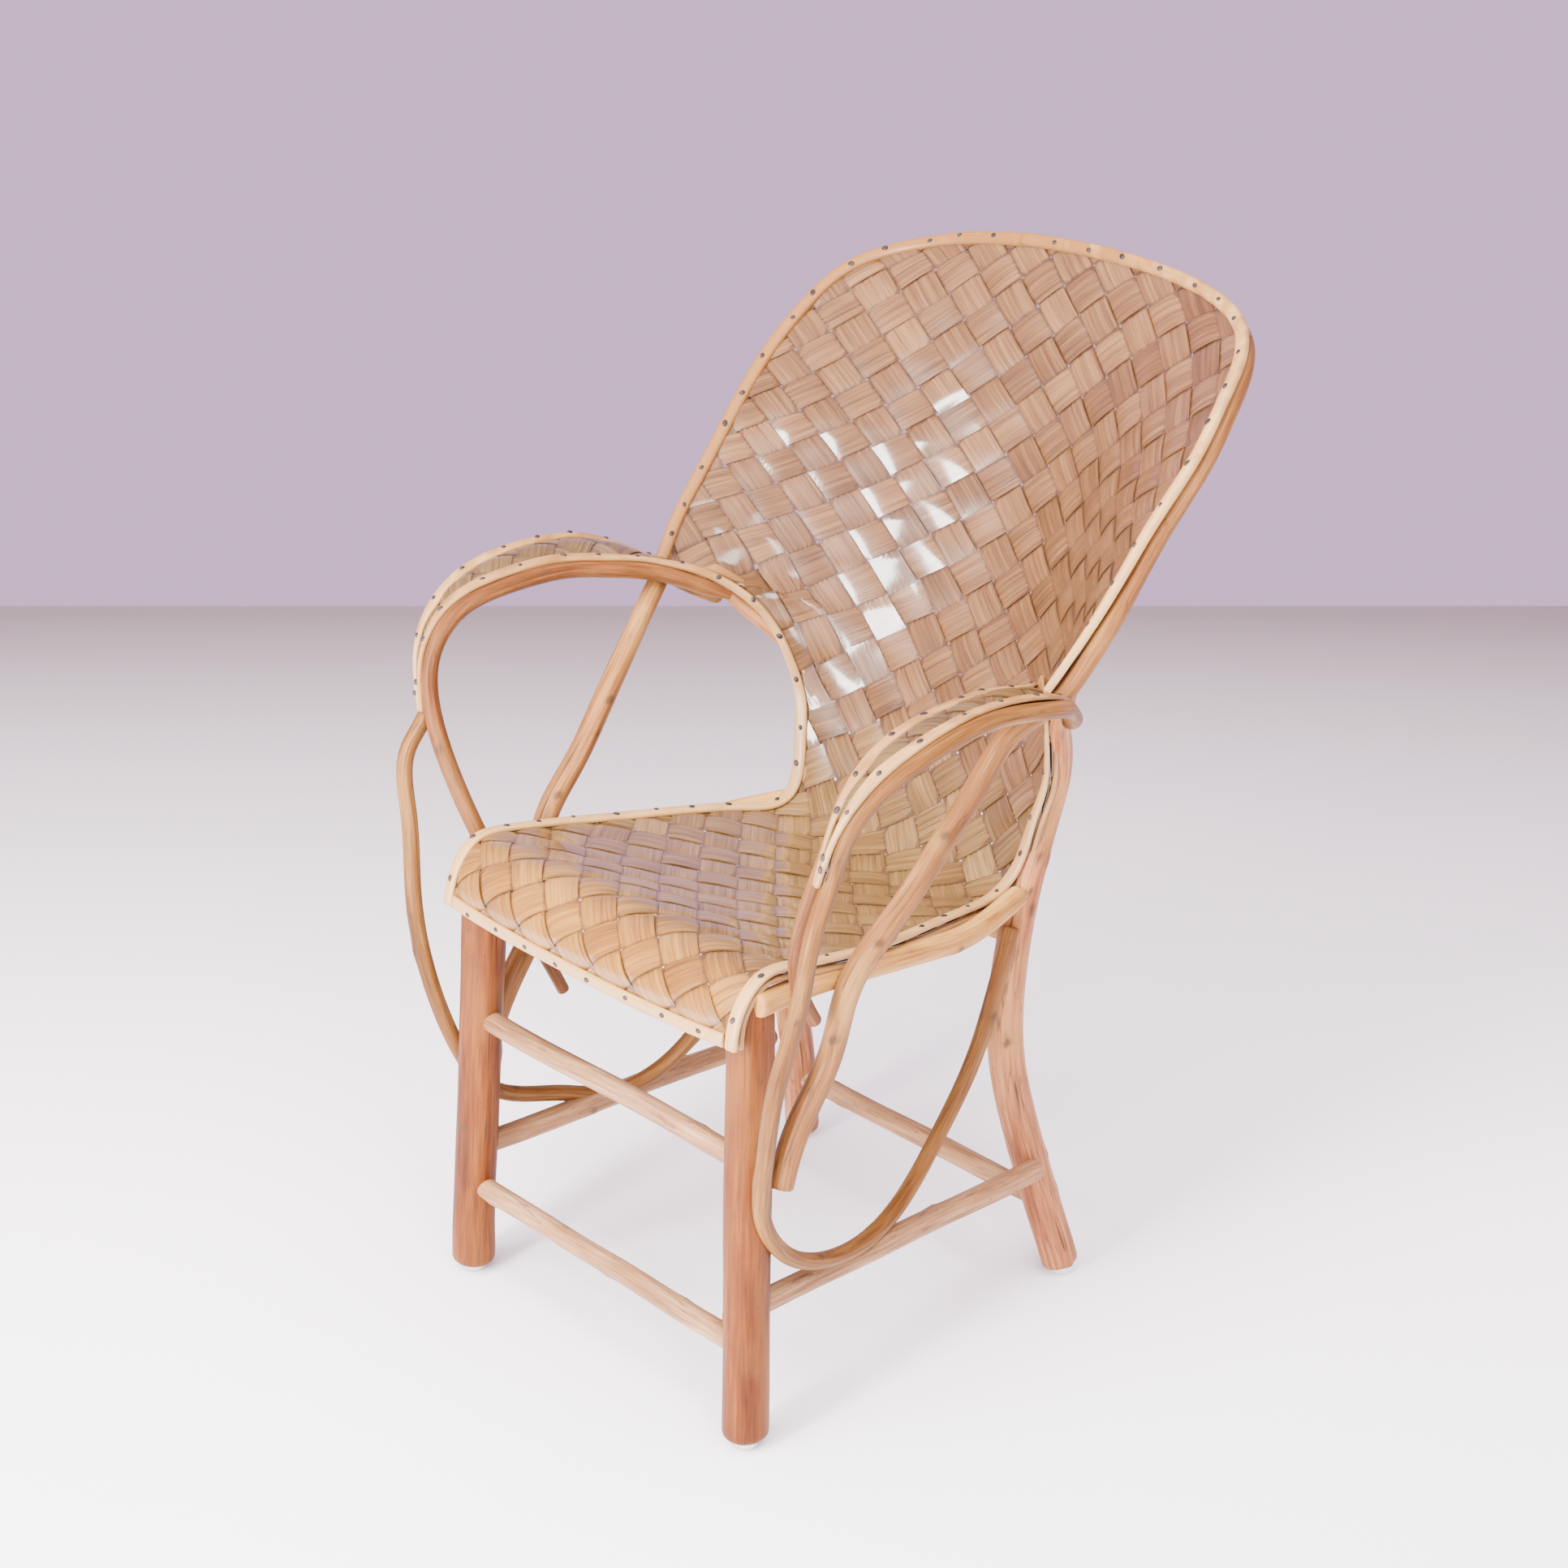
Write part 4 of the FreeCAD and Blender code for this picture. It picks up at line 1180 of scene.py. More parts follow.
@dataclass
class Weave:
    """Plain weave of two families of splints on a face."""

    face: object
    lattice: object
    numbers: tuple[int, int]
    seed: int
    splint_share: float = 0.932
    thickness: float = 1.2
    wave: float = 1.45
    crown: float = 0.95
    margin: float = 2.5
    columns: int = 6
    cell_steps: int = 7
    flatness: float = 1.8

    def corners(self, family: Family, beside_it: Array, ahead: Array) -> tuple[Array, Array]:
        """Return places on the face from numbers across and along a splint.

        Args:
            family: the splint's direction.
            beside_it: numbers across the splint.
            ahead: numbers along it.

        Returns:
            Places along the face and across it.
        """
        if family is Family.RISING_RIGHT:
            return self.lattice.spread(beside_it, ahead)
        return self.lattice.spread(ahead, beside_it)

    def stretches(self, family: Family, number: int, offsets: Array) -> list[list[tuple]]:
        """Return the parts of a splint that lie on the face.

        Args:
            family: the splint's direction.
            number: the splint's number in its family.
            offsets: places across the splint, in cells from its middle.

        Returns:
            For each part, its columns as (column, start, end) in cells along the splint.
        """
        ahead = np.arange(self.numbers[0], self.numbers[1], 0.03)
        runs = []
        for offset in offsets:
            beside_it = np.full_like(ahead, number + 0.5 + offset)
            inside = self.face.contains(*self.corners(family, beside_it, ahead), self.margin)
            runs.append(inside_runs(inside, ahead))
        cuts = [
            (before[1] + after[0]) / 2
            for column in runs for before, after in zip(column, column[1:])
        ]
        for index, column in enumerate(runs):
            for cut in cuts:
                column = [
                    part for start, end in column for part in (
                        ((start, cut), (cut, end)) if start < cut < end else ((start, end),))
                ]
            runs[index] = column
        parts: list[list[tuple]] = []
        running: list[list[tuple]] = []
        for index, column in enumerate(runs):
            free = list(column)
            carried = []
            for part in running:
                _, start, end = part[-1]
                shared = [(min(end, other[1]) - max(start, other[0]), other) for other in free]
                shared = [entry for entry in shared if entry[0] > 0.15]
                if shared:
                    chosen = max(shared)[1]
                    free.remove(chosen)
                    part.append((index, *chosen))
                    carried.append(part)
            for start, end in free:
                if end - start > 0.12:
                    part = [(index, start, end)]
                    parts.append(part)
                    carried.append(part)
            running = carried
        return [
            part for part in parts
            if len(part) > 1 and max(end - start for _, start, end in part) > 0.3
        ]

    def splint(self, family: Family, number: int, tone: float, drift: Array) -> list[Piece]:
        """Return the laid parts of one splint, each still without thickness.

        Args:
            family: the splint's direction.
            number: the splint's number in its family.
            tone: the splint's shade, from 0 to 1.
            drift: random numbers for its slow drift to the sides.

        Returns:
            The parts.
        """
        offsets = np.linspace(-0.5, 0.5, self.columns + 1) * self.splint_share
        laid = []
        for part in self.stretches(family, number, offsets):
            longest = max(end - start for _, start, end in part)
            steps = max(int(math.ceil(longest * self.cell_steps)), 2)
            share = np.linspace(0, 1, steps + 1)[:, None]
            starts = np.array([start for _, start, _ in part])[None, :]
            ends = np.array([end for _, _, end in part])[None, :]
            ahead = starts + share * (ends - starts)
            offset = offsets[[index for index, _, _ in part]][None, :] + 0 * ahead
            wander = 0.018 * np.sin(ahead * drift[0] + drift[1] * 6)
            width = 1 + 0.02 * np.sin(ahead * drift[2] + drift[3] * 6)
            beside_it = number + 0.5 + wander + offset * width
            way = np.sin(np.pi * ahead) * (1 if number % 2 == 0 else -1) * -family.value
            flat = np.tanh(self.flatness * way) / math.tanh(self.flatness)
            height = self.wave * (0.75 * flat + 0.25 * way)
            rounding = 0.35 + 0.65 * (way > 0) * np.abs(way)
            height = height + self.crown * (1 - (2 * offset) ** 2) * rounding
            height = height + 0.10 * np.sin(ahead * drift[2] * 2.7 + offset * 4)
            lengths, across = self.corners(family, beside_it, ahead)
            points = self.face.at(lengths, across, SHEET_MIDDLE - height)
            grain = np.stack([
                ahead * self.lattice.pitch + 91 * number,
                offset * self.lattice.pitch + 57 * number + 900 * (family.value + 1),
            ], axis=-1)
            # Painted shade: darkness laid where the splint dives under its neighbour and along its
            # two sides
            side = np.clip(np.abs(2 * offset) / self.splint_share * 3 - 2, 0, 1)
            crevice_shade = np.maximum(np.clip(1 - way / 0.43, 0, 1), 0.8 * side)
            marks = {"tone": np.array(tone), "crevice_shade": crevice_shade}
            laid.append(Bench.lay_grid("splint", points, grain, marks))
        return laid

    def build(self, name: str, finish: Finish, nodes: Sequence[str]) -> None:
        """Weave both families and dress them.

        Args:
            name: start of the pieces' names.
            finish: what the splints are finished with.
            nodes: the CAD nodes that the weave stands for.
        """
        chance = np.random.default_rng(self.seed)
        for family in Family:
            laid = []
            for number in range(*self.numbers):
                tone, drift = chance.random(), chance.random(4)
                laid += self.splint(family, number, tone, drift)
            woven = Bench.join(f"{name}_{family.name.lower()}", laid)
            Bench.modify(woven, "SOLIDIFY", thickness=self.thickness * MILLIMETRE, offset=0)
            Bench.smooth(woven, 35)
            Bench.hand_over(woven, finish, nodes)


# ---------------------------------------------------------------- rims


@dataclass
class Edge:
    """An edge of the sheet or of an arm, with the ways out of the face and in from the edge."""

    points: Array
    normals: Array
    inward: Array

    @staticmethod
    def of_face(points: Array, normals: Array) -> "Edge":
        """Return the edge along points of a face, its way in square to its run and the face."""
        return Edge(points, normals, unit(np.cross(normals, travel(points))))

    def part(self, start: float, end: float, spacing: float = 6.0) -> "Edge":
        """Return a part of the edge, evenly spaced.

        Args:
            start: where it starts, as a share of the edge's length.
            end: where it ends.
            spacing: millimetres between its points.

        Returns:
            The part.
        """
        lengths = run_lengths(self.points)
        count = max(int((end - start) * lengths[-1] / spacing), 4)
        wanted = np.linspace(start, end, count + 1) * lengths[-1]
        points = SmoothCurve(lengths, self.points).at(wanted)
        normals, inward = [
            unit(read_along(wanted, lengths, ways)) for ways in (self.normals, self.inward)]
        return Edge(points, normals, inward)

    def mirrored(self) -> "Edge":
        """Return the same edge on the other side."""
        kept = (self.points, self.normals, self.inward)
        return Edge(*[on_side(values, Side.LEFT) for values in kept])


RIM_PROFILE = (
    (0.00, 1.0), (0.00, 0.45), (0.08, 0.16), (0.26, 0.0), (0.74, 0.0), (0.92, 0.16), (1.00, 0.45),
    (1.00, 1.0),
)


@dataclass
class RimStrip:
    """One split rod nailed along an edge."""

    name: str
    edge: Edge
    top: object = 0.0
    width: float = RIM_WIDTH * 0.93
    widths: Optional[Array] = None
    thickness: float = RIM_THICKNESS
    tone: tuple[float, float] = (0.3, 0.5)
    seed: int = 0

    def mesh(self) -> Piece:
        """Make the strip.

        Returns:
            The strip, closed all round.
        """
        edge = self.edge
        count = len(edge.points)
        lengths = run_lengths(edge.points)
        shares = np.ones(count) if self.widths is None else self.widths
        chance = np.random.default_rng(self.seed)
        waver = sum(
            np.sin(lengths / chance.uniform(30, 110) + chance.uniform(0, 6)) * 0.022
            for _ in range(3))
        width = self.width * shares * (1 + waver)
        profile = np.array(RIM_PROFILE + RIM_PROFILE[:1])
        top = np.broadcast_to(self.top, (count,))[:, None, None]
        points = (
            edge.points[:, None, :]
            + edge.inward[:, None, :] * (profile[None, :, :1] * width[:, None, None])
            - edge.normals[:, None, :] * (top + profile[None, :, 1:] * self.thickness)
        )
        around = np.concatenate([[0], np.cumsum(np.linalg.norm(np.diff(profile, axis=0), axis=1))])
        grain = np.stack(
            np.broadcast_arrays(lengths[:, None], around[None, :] * self.width), axis=-1)
        start, end = self.tone
        tone = (start + (end - start) * lengths / lengths[-1])[:, None]
        strip = Bench.lay_grid(self.name, points, grain, {"tone": tone}, closed=True)
        Bench.modify(
            strip, "BEVEL", width=0.5 * MILLIMETRE, segments=1, angle_limit=math.radians(50))
        Bench.smooth(strip, 50)
        return strip


@dataclass
class Edges:
    """All edges that carry rims, on the right side where there are two."""

    face: SheetFace

    def row_number(self, row: int) -> float:
        """Return the fine row number of a row of the table."""
        return self.face.knots[row] / self.face.knots[-1] * (self.face.ROWS - 1)

    def seat_side(self) -> Edge:
        """Return the right edge of the seat and waist, lip corner to arm."""
        rows = np.linspace(0, self.row_number(WAIST_TOP_ROW), 120)
        return Edge.of_face(*self.face.sample(rows, np.full_like(rows, self.face.COLUMNS - 1)))

    def hoop(self) -> Edge:
        """Return the whole edge of the back.

        Returns:
            The edge, from the right arm round to the left one.
        """
        rows = [self.row_number(row) for row in range(HOOP_ROW, len(SHEET_SHARES))]
        last = self.face.COLUMNS - 1
        columns = last * (1 + np.array(TOP_EDGE_SHARES)) / 2
        row_numbers = np.array(rows + [rows[-1]] * len(columns))
        column_numbers = np.concatenate([np.full(len(rows), last), columns])
        points, _ = self.face.sample(row_numbers, column_numbers)
        _, normals = self.face.sample(
            np.minimum(row_numbers, self.face.ROWS - FACE_ROWS_INSIDE),
            np.minimum(column_numbers, last * FACE_COLUMN_SHARE))
        points, normals = [
            np.concatenate([values, on_side(values[:-1], Side.LEFT)[::-1]])
            for values in (points, normals)]
        rough = Edge.of_face(points, normals).part(0, 1, 8)
        lengths = run_lengths(rough.points)
        points, normals = [
            eased(lengths, values, WAY_EASE) for values in (rough.points, rough.normals)]
        return Edge.of_face(points, unit(normals))

    def lip(self) -> Edge:
        """Return the seat's front edge between the side rims, left to right."""
        columns = np.linspace(0.036, 0.964, 60) * (self.face.COLUMNS - 1)
        return Edge.of_face(*self.face.sample(np.zeros_like(columns), columns))

    def arm(self, side: int) -> tuple[Edge, Array]:
        """Return an edge of the right arm, rear to tip, with the rims' width shares.

        Args:
            side: 1 for the inner edge, -1 for the outer one.

        Returns:
            The edge, and its share of the rim's width at each point.
        """
        inner, outer, across, normals = arm_rows()
        shares = np.array([1.0] + [row[2] for row in ARM_SHARES])
        rear, line = place(*OUTER_RIM_REAR_SHARES), outer
        if side > 0:
            rear, line = self.seat_side().points[-1], inner
        edge = Edge(
            np.concatenate([[rear], line]),
            np.concatenate([normals[:1], normals]),
            np.concatenate([across[:1], across]) * side,
        )
        smooth = edge.part(0, 1)
        return smooth, np.interp(run_lengths(smooth.points), run_lengths(edge.points), shares)

    def waist(self) -> tuple[Edge, Array]:
        """Return the right edge from the lip's corner up the waist and along the arm's inner side.

        Returns:
            The edge, whose face turns over where the waist passes into the arm, and its share of
            the rim's width at each point.
        """
        lower = self.seat_side()
        upper, upper_shares = self.arm(1)
        points = np.concatenate([lower.points, upper.points[1:]])
        lengths = run_lengths(points)
        corner = lengths[len(lower.points) - 1]
        wanted = np.linspace(0, lengths[-1], int(lengths[-1] / 5) + 1)
        line = eased(wanted, read_along(wanted, lengths, points), EDGE_EASE)
        ways = read_along(wanted, lengths, np.concatenate([lower.inward, upper.inward[1:]]))
        near = np.exp(-((wanted - corner) / WAIST_TURN) ** 2)[:, None]
        ways = unit(ways * (1 - near) + np.array(WAIST_TURN_WAY) * near)
        ways = eased(wanted, ways, WAY_EASE)
        toward = travel(line)
        ways = unit(ways - toward * (ways * toward).sum(axis=1, keepdims=True))
        shares = np.concatenate([np.ones(len(lower.points)), upper_shares[1:]])
        narrow = np.exp(-((wanted - corner + WAIST_NARROW_BEFORE) / WAIST_NARROW_REACH) ** 4)
        shares = np.interp(wanted, lengths, shares) * (1 - WAIST_NARROWING * narrow)
        return Edge(line, np.cross(toward, ways), ways), shares


# ---------------------------------------------------------------- nails


@dataclass
class Nails:
    """Oval nail heads, modelled once and copied."""

    name: str
    seed: int
    length: float = 6.2
    breadth: float = 4.7
    height: float = 1.5
    spots: list[tuple[Array, Array, Array]] = field(default_factory=list)

    def head(self) -> Piece:
        """Return one nail head, domed above and flat below, one unit long and wide.

        Returns:
            The head.
        """
        Bench.clear()
        bpy.ops.mesh.primitive_uv_sphere_add(segments=10, ring_count=6, radius=0.5)
        bpy.ops.object.mode_set(mode="EDIT")
        bpy.ops.mesh.select_all(action="SELECT")
        bpy.ops.mesh.bisect(
            plane_co=(0, 0, -0.05), plane_no=(0, 0, 1), clear_inner=True, use_fill=True)
        bpy.ops.object.mode_set(mode="OBJECT")
        return bpy.context.object

    def along_edge(self, edge: Edge, spacing: float, share: float) -> None:
        """Put nails along a rim.

        Args:
            edge: the rim's edge.
            spacing: millimetres between nails.
            share: where they sit across the rim, as a share of its width.
        """
        chance = np.random.default_rng(self.seed)
        length = run_lengths(edge.points)[-1]
        count = max(int(length / spacing), 1)
        wanted = (np.arange(count) + 0.5) * length / count + chance.uniform(-6, 6, count)
        found = edge.part(0, 1, 3)
        steps = run_lengths(found.points)
        for spot in wanted:
            index = int(np.clip(np.searchsorted(steps, spot), 1, len(steps) - 2))
            offset = RIM_WIDTH * (share + chance.uniform(-0.12, 0.12))
            centre = found.points[index] + found.inward[index] * offset
            way = found.points[index + 1] - found.points[index - 1]
            self.spots.append((centre, found.normals[index], way))

    def build(self) -> None:
        """Copy the nail head to every spot and dress the nails."""
        chance = np.random.default_rng(self.seed + 1)
        pattern = self.head()
        heads = []
        for centre, normal, way in self.spots:
            normal = unit(normal)
            way = unit(way - normal * np.dot(way, normal))
            turn = chance.uniform(-0.6, 0.6)
            sideways = np.cross(normal, way)
            first = way * math.cos(turn) + sideways * math.sin(turn)
            second = np.cross(normal, first)
            size = chance.uniform(0.78, 1.2)
            axes = (
                first * self.length * size, second * self.breadth * size, normal * self.height * 2)
            table = np.eye(4)
            table[:3, :3] = np.stack(axes, axis=1) * MILLIMETRE
            table[:3, 3] = in_frame(centre)
            heads.append(Bench.copy_of(pattern, Matrix(table.tolist())))
        bpy.data.objects.remove(pattern)
        nails = Bench.join(self.name, heads)
        Bench.smooth(nails, 60)
        Bench.hand_over(nails, NAIL)


# ---------------------------------------------------------------- poles and rods


@dataclass
class Knot:
    """A knot on a pole: where it sits along and round it, and its size in millimetres."""

    share: float
    turn: float
    size: float = 9.0
    height: float = 1.6


# Bounds of a random knot's share, turn, size and height
RANDOM_KNOT_BOUNDS = ((0.06, 0.94), (0, 2 * math.pi), (5, 9), (0.7, 1.9))


@dataclass
class Crack:
    """A drying crack along a pole: its ends as shares of the length, and its turn at both ends."""

    start: float
    end: float
    turn: float
    last_turn: float


@dataclass
class Pole:
    """A debarked pole or bent rod along a smooth line."""

    name: str
    points: Array
    diameters: Array
    finish: Finish
    nodes: tuple[str, ...]
    seed: int
    knots: int = 4
    placed: tuple[Knot, ...] = ()
    cracks: tuple[Crack, ...] = ()
    start: EndCut = EndCut.SAWN
    end: EndCut = EndCut.SAWN
    wobble: float = 0.7
    around: int = 20
    spacing: float = 7.0

    def mesh(self) -> Piece:
        """Return the pole's mesh with its grain, its tone and its knots.

        Returns:
            The pole, closed all round, with the marks tone, knot and gap.
        """
        chance = np.random.default_rng(self.seed)
        lengths = run_lengths(self.points)
        count = max(int(lengths[-1] / self.spacing), 10)
        steps = np.linspace(0, lengths[-1], count + 1)
        ends = self.diameters[0] / 2, self.diameters[-1] / 2
        extra = [ends[0] * share for share in (0.07, 0.2, 0.45)]
        extra += [lengths[-1] - ends[1] * share for share in (0.07, 0.2, 0.45)]
        steps = np.unique(np.concatenate([steps, extra]))
        centres = SmoothCurve(lengths, self.points).at(steps)
        radii = np.interp(steps, lengths, self.diameters) / 2
        ways = travel(centres)
        side = np.array([0.0, 1.0, 0.0]) if abs(ways[0][0]) > 0.9 else np.array([1.0, 0.0, 0.0])
        sides = []
        for way in ways:
            side = unit(side - way * np.dot(side, way))
            sides.append(side)
        sides = np.array(sides)
        others = np.cross(ways, sides)
        fade = np.clip(np.minimum(steps, lengths[-1] - steps) / 40, 0, 1)
        for axis in (sides, others):
            for _ in range(3):
                wave = np.sin(steps / chance.uniform(22, 90) + chance.uniform(0, 6))
                centres = centres + axis * (wave * fade * self.wobble / 3)[:, None]
        swell = sum(np.sin(steps / chance.uniform(14, 70) + chance.uniform(0, 6)) for _ in range(3))
        radii = radii * (1 + 0.012 * swell)
        turns = np.linspace(0, 2 * math.pi, self.around + 1)
        lobes = np.zeros((len(steps), len(turns)))
        for order in (2, 3):
            shift = chance.uniform(0, 6) + steps / chance.uniform(120, 320)
            lobes += 0.014 * np.cos(order * turns[None, :] + shift[:, None])
        radius = radii[:, None] * (1 + lobes)
        knot = np.zeros_like(radius)
        random_knots = [
            Knot(*[chance.uniform(*bounds) for bounds in RANDOM_KNOT_BOUNDS])
            for _ in range(self.knots)
        ]
        for mark in (*self.placed, *random_knots):
            far = steps[:, None] - mark.share * lengths[-1]
            apart = np.angle(np.exp(1j * (turns[None, :] - mark.turn))) * radii[:, None]
            bump = np.exp(-(far / mark.size) ** 2 - (apart / (mark.size * 0.8)) ** 2)
            radius = radius + bump * mark.height
            core = (far / (mark.size * 0.55)) ** 2 + (apart / (mark.size * 0.45)) ** 2
            knot = np.maximum(knot, np.exp(-core))
        radius = radius * self.start.share_left(steps, radii[0])[:, None]
        radius = radius * self.end.share_left(lengths[-1] - steps, radii[-1])[:, None]
        points = (
            centres[:, None, :]
            + sides[:, None, :] * (radius * np.cos(turns))[..., None]
            + others[:, None, :] * (radius * np.sin(turns))[..., None]
        )
        points[:, -1] = points[:, 0]
        grain = np.stack(np.broadcast_arrays(
            steps[:, None], turns[None, :] * float(np.mean(radii))), axis=-1)
        gap = self.gaps(steps, turns, radii)
        marks = {"tone": np.array(chance.random()), "knot": knot, "gap": gap}
        return Bench.lay_grid(self.name, points, grain, marks, closed=True)

    def gaps(self, steps: Array, turns: Array, radii: Array) -> Array:
        """Return how far each corner lies from the nearest crack.

        Args:
            steps: the rows' lengths along the pole.
            turns: the columns' turns round it.
            radii: its radius at each row.

        Returns:
            Millimetres, by rows and columns.
        """
        gap = np.full((len(steps), len(turns)), 30.0)
        for crack in self.cracks:
            share = (steps / steps[-1] - crack.start) / (crack.end - crack.start)
            turn = crack.turn + (crack.last_turn - crack.turn) * share + 0.05 * np.sin(steps / 23)
            apart = np.abs(np.angle(np.exp(1j * (turns[None, :] - turn[:, None])))) * radii[:, None]
            past = np.maximum(-share, share - 1).clip(0)[:, None]
            gap = np.minimum(gap, apart + past * (crack.end - crack.start) * steps[-1] * 0.3)
        return gap

    def build(self) -> None:
        """Make the pole and dress it."""
        pole = self.mesh()
        Bench.smooth(pole, 45)
        Bench.hand_over(pole, self.finish, self.nodes)


@dataclass
class Routes:
    """The lines that the poles and rods of the right side follow, as in the source."""

    face: SheetFace
    edges: Edges

    front_leg: float = 42.0
    back_pole: float = 36.0
    back_pole_tip: float = 11.0
    hoop_pole: float = 23.0
    hoop_tip: float = 15.0
    rail: float = 22.0
    side_stretcher: float = 22.0
    outer_rod: float = 16.0
    inner_rod: float = 17.0

    def leg_line(self) -> Array:
        """Work out the front leg's line.

        Returns:
            Its centres, glide to top.
        """
        line = places(FRONT_LEG_SHARES)
        line[0, 2] = GLIDE_HEIGHT
        return line

    def hoop_line(self, side: Side = Side.RIGHT) -> tuple[Array, Array]:
        """Return the hoop pole's line, low end to the top's middle.

        Args:
            side: the side whose low end and elbow it takes.

        Returns:
            Its centres and its diameters.
        """
        low, high = places(BRACE_LOW_SHARES), places(BRACE_HIGH_SHARES)
        rail = place(*SIDE_RAIL_SHARES[1])
        elbow = beside(rail, (1, 0.1, 0.1), self.rail, self.hoop_pole)
        if side is Side.LEFT:
            low[-1, 1] += LEFT_ELBOW_SHIFTS[0]
            elbow[1] += LEFT_ELBOW_SHIFTS[1]
        half = self.edges.hoop().part(0, 0.5, 24)
        middle = self.hoop_pole * HOOP_MIDDLE_SHARE
        diameters = middle + (self.hoop_tip - middle) * np.linspace(0, 1, len(half.points))
        depth = (LOWER_RIM_TOP + diameters / 2)[:, None]
        inset = (diameters / 2 * HOOP_INSET_SHARE)[:, None]
        behind = half.points - half.normals * depth + half.inward * inset
        line = np.array([*low, elbow, *high, *behind])
        diameters = np.concatenate([self.hoop_pole * np.array(HOOP_START_SHARES), diameters])
        lengths = run_lengths(line)
        wanted = np.linspace(0, lengths[-1], int(lengths[-1] / 6) + 1)
        smooth = SmoothCurve(lengths, line).at(wanted)
        return eased(wanted, smooth, HOOP_EASE), np.interp(wanted, lengths, diameters)

    def back_line(self) -> tuple[Array, Array]:
        """Return the back pole's line, glide to whittled tip.

        Returns:
            Its centres and its diameters.
        """
        line = places(BACK_POLE_SHARES)
        line[0, 2] = GLIDE_HEIGHT
        line[-len(WAIST_CLEARANCES):, 1] += WAIST_CLEARANCES
        hoop, hoop_diameters = self.hoop_line()
        row = int(np.argmin(np.abs(hoop[:, 2] - TIP_HEIGHT)))
        tip = beside(hoop[row], TIP_BEHIND_HOOP, hoop_diameters[row] + 3, self.back_pole_tip)
        diameters = [self.back_pole * row[3] for row in BACK_POLE_SHARES] + [self.back_pole_tip]
        return np.array([*line, tip]), np.array(diameters)

    def rail_line(self) -> Array:
        """Work out the side rail's line.

        Returns:
            Its centres, front to the rear end on the back pole.
        """
        line = places(SIDE_RAIL_SHARES)
        pole_there = along(self.back_line()[0], line[-1, 2])
        line[-1] = beside(pole_there, line[-2] - pole_there, self.back_pole, SEAT_GAP)
        return line

    def side_stretcher_line(self) -> Array:
        """Work out the side stretcher's line.

        Returns:
            Its front centre in the leg and its rear centre on the back pole.
        """
        leg = along(self.leg_line(), 0.294 * SEAT_HEIGHT)
        back = along(self.back_line()[0], 0.284 * SEAT_HEIGHT)
        return np.array([leg, beside(back, (1, -0.9, 0), self.back_pole, self.side_stretcher)])

    def outer_rod_line(self, side: Side) -> Array:
        """Return the outer rod's line.

        Args:
            side: the side whose loop it takes.

        Returns:
            Its centres, hooked end to the top of its loop.
        """
        _, outer, _, normals = arm_rows()
        hook = places(OUTER_ROD_HOOK_SHARES)
        back = self.back_line()[0]
        pole_there = along(back, hook[0, 2])
        hook_end = beside(pole_there, hook[0] - pole_there, self.back_pole * 0.5, self.outer_rod)
        arm = outer - normals * (RIM_THICKNESS + SEAT_GAP + self.outer_rod / 2)
        leg = along(self.leg_line(), 0.52 * SEAT_HEIGHT)
        on_leg = beside(leg, (1, -0.3, 0), self.front_leg, self.outer_rod)
        loop = places(OUTER_ROD_LOOP_SHARES)
        if side is Side.LEFT:
            loop[:len(LEFT_LOOP_DROPS), 2] -= LEFT_LOOP_DROPS
        first, last = self.side_stretcher_line()
        reach = (0.353 * SEAT_DEPTH - first[1]) / (last[1] - first[1])
        on_stretcher = first + (last - first) * reach
        rest = beside(on_stretcher, (0.55, 0, 1), self.side_stretcher, self.outer_rod)
        end = beside(along(back, 0.835 * SEAT_HEIGHT), (0.5, -1, 0), self.back_pole, self.outer_rod)
        return np.array([
            hook_end, *hook[1:], *arm[1:], *places(OUTER_ROD_FRONT_SHARES), on_leg, loop[0], rest,
            *loop[1:], end])

    def inner_rod_line(self, side: Side) -> Array:
        """Return the inner rod's line.

        Args:
            side: the side whose cut end it takes.

        Returns:
            Its centres, waist to cut end.
        """
        inner, _, _, normals = arm_rows()
        arm = inner - normals * (RIM_THICKNESS + SEAT_GAP + self.inner_rod / 2)
        end = INNER_ROD_RIGHT_END_SHARES if side is Side.RIGHT else INNER_ROD_LEFT_END_SHARES
        rail = self.rail_line()
        at_rail = rail[0] + (rail[1] - rail[0]) * 0.40
        past_rail = beside(at_rail, (1, 0, 0.3), self.rail, self.inner_rod)
        rear, *front = places([INNER_ROD_REAR_SHARES, *INNER_ROD_FRONT_SHARES])
        return np.array([rear, *arm[:-1], *front, past_rail, place(*end)])


# Where each side's random draws start, and the knots and cracks that the photo shows
SIDE_SEEDS = {Side.RIGHT: 100, Side.LEFT: 200}
ACROSS_SEED = 300
FRONT_LEG_MARKS = {
    Side.RIGHT: {
        "placed": (Knot(0.71, -0.2, 8, 1.5),), "cracks": (Crack(0.30, 0.55, -1.5, -1.4),)},
    Side.LEFT: {
        "placed": (Knot(0.37, -1.38, 7, 1.2),), "cracks": (Crack(0.08, 0.62, -0.35, -0.15),)},
}
BACK_POLE_MARKS = {
    "placed": (Knot(0.36, -0.7, 8, 2.2), Knot(0.43, -1.1, 9, 2.4), Knot(0.60, -0.5, 8, 2.0)),
    "cracks": (Crack(0.03, 0.30, -0.3, -0.5), Crack(0.5, 0.62, -1.2, -1.1)),
}
HOOP_POLE_MARKS = {
    "placed": (Knot(0.13, -0.9, 9, 2.0), Knot(0.21, -0.6, 8, 1.6)),
    "cracks": (Crack(0.02, 0.12, -0.9, -0.7), Crack(0.17, 0.27, -1.3, -1.2)),
}


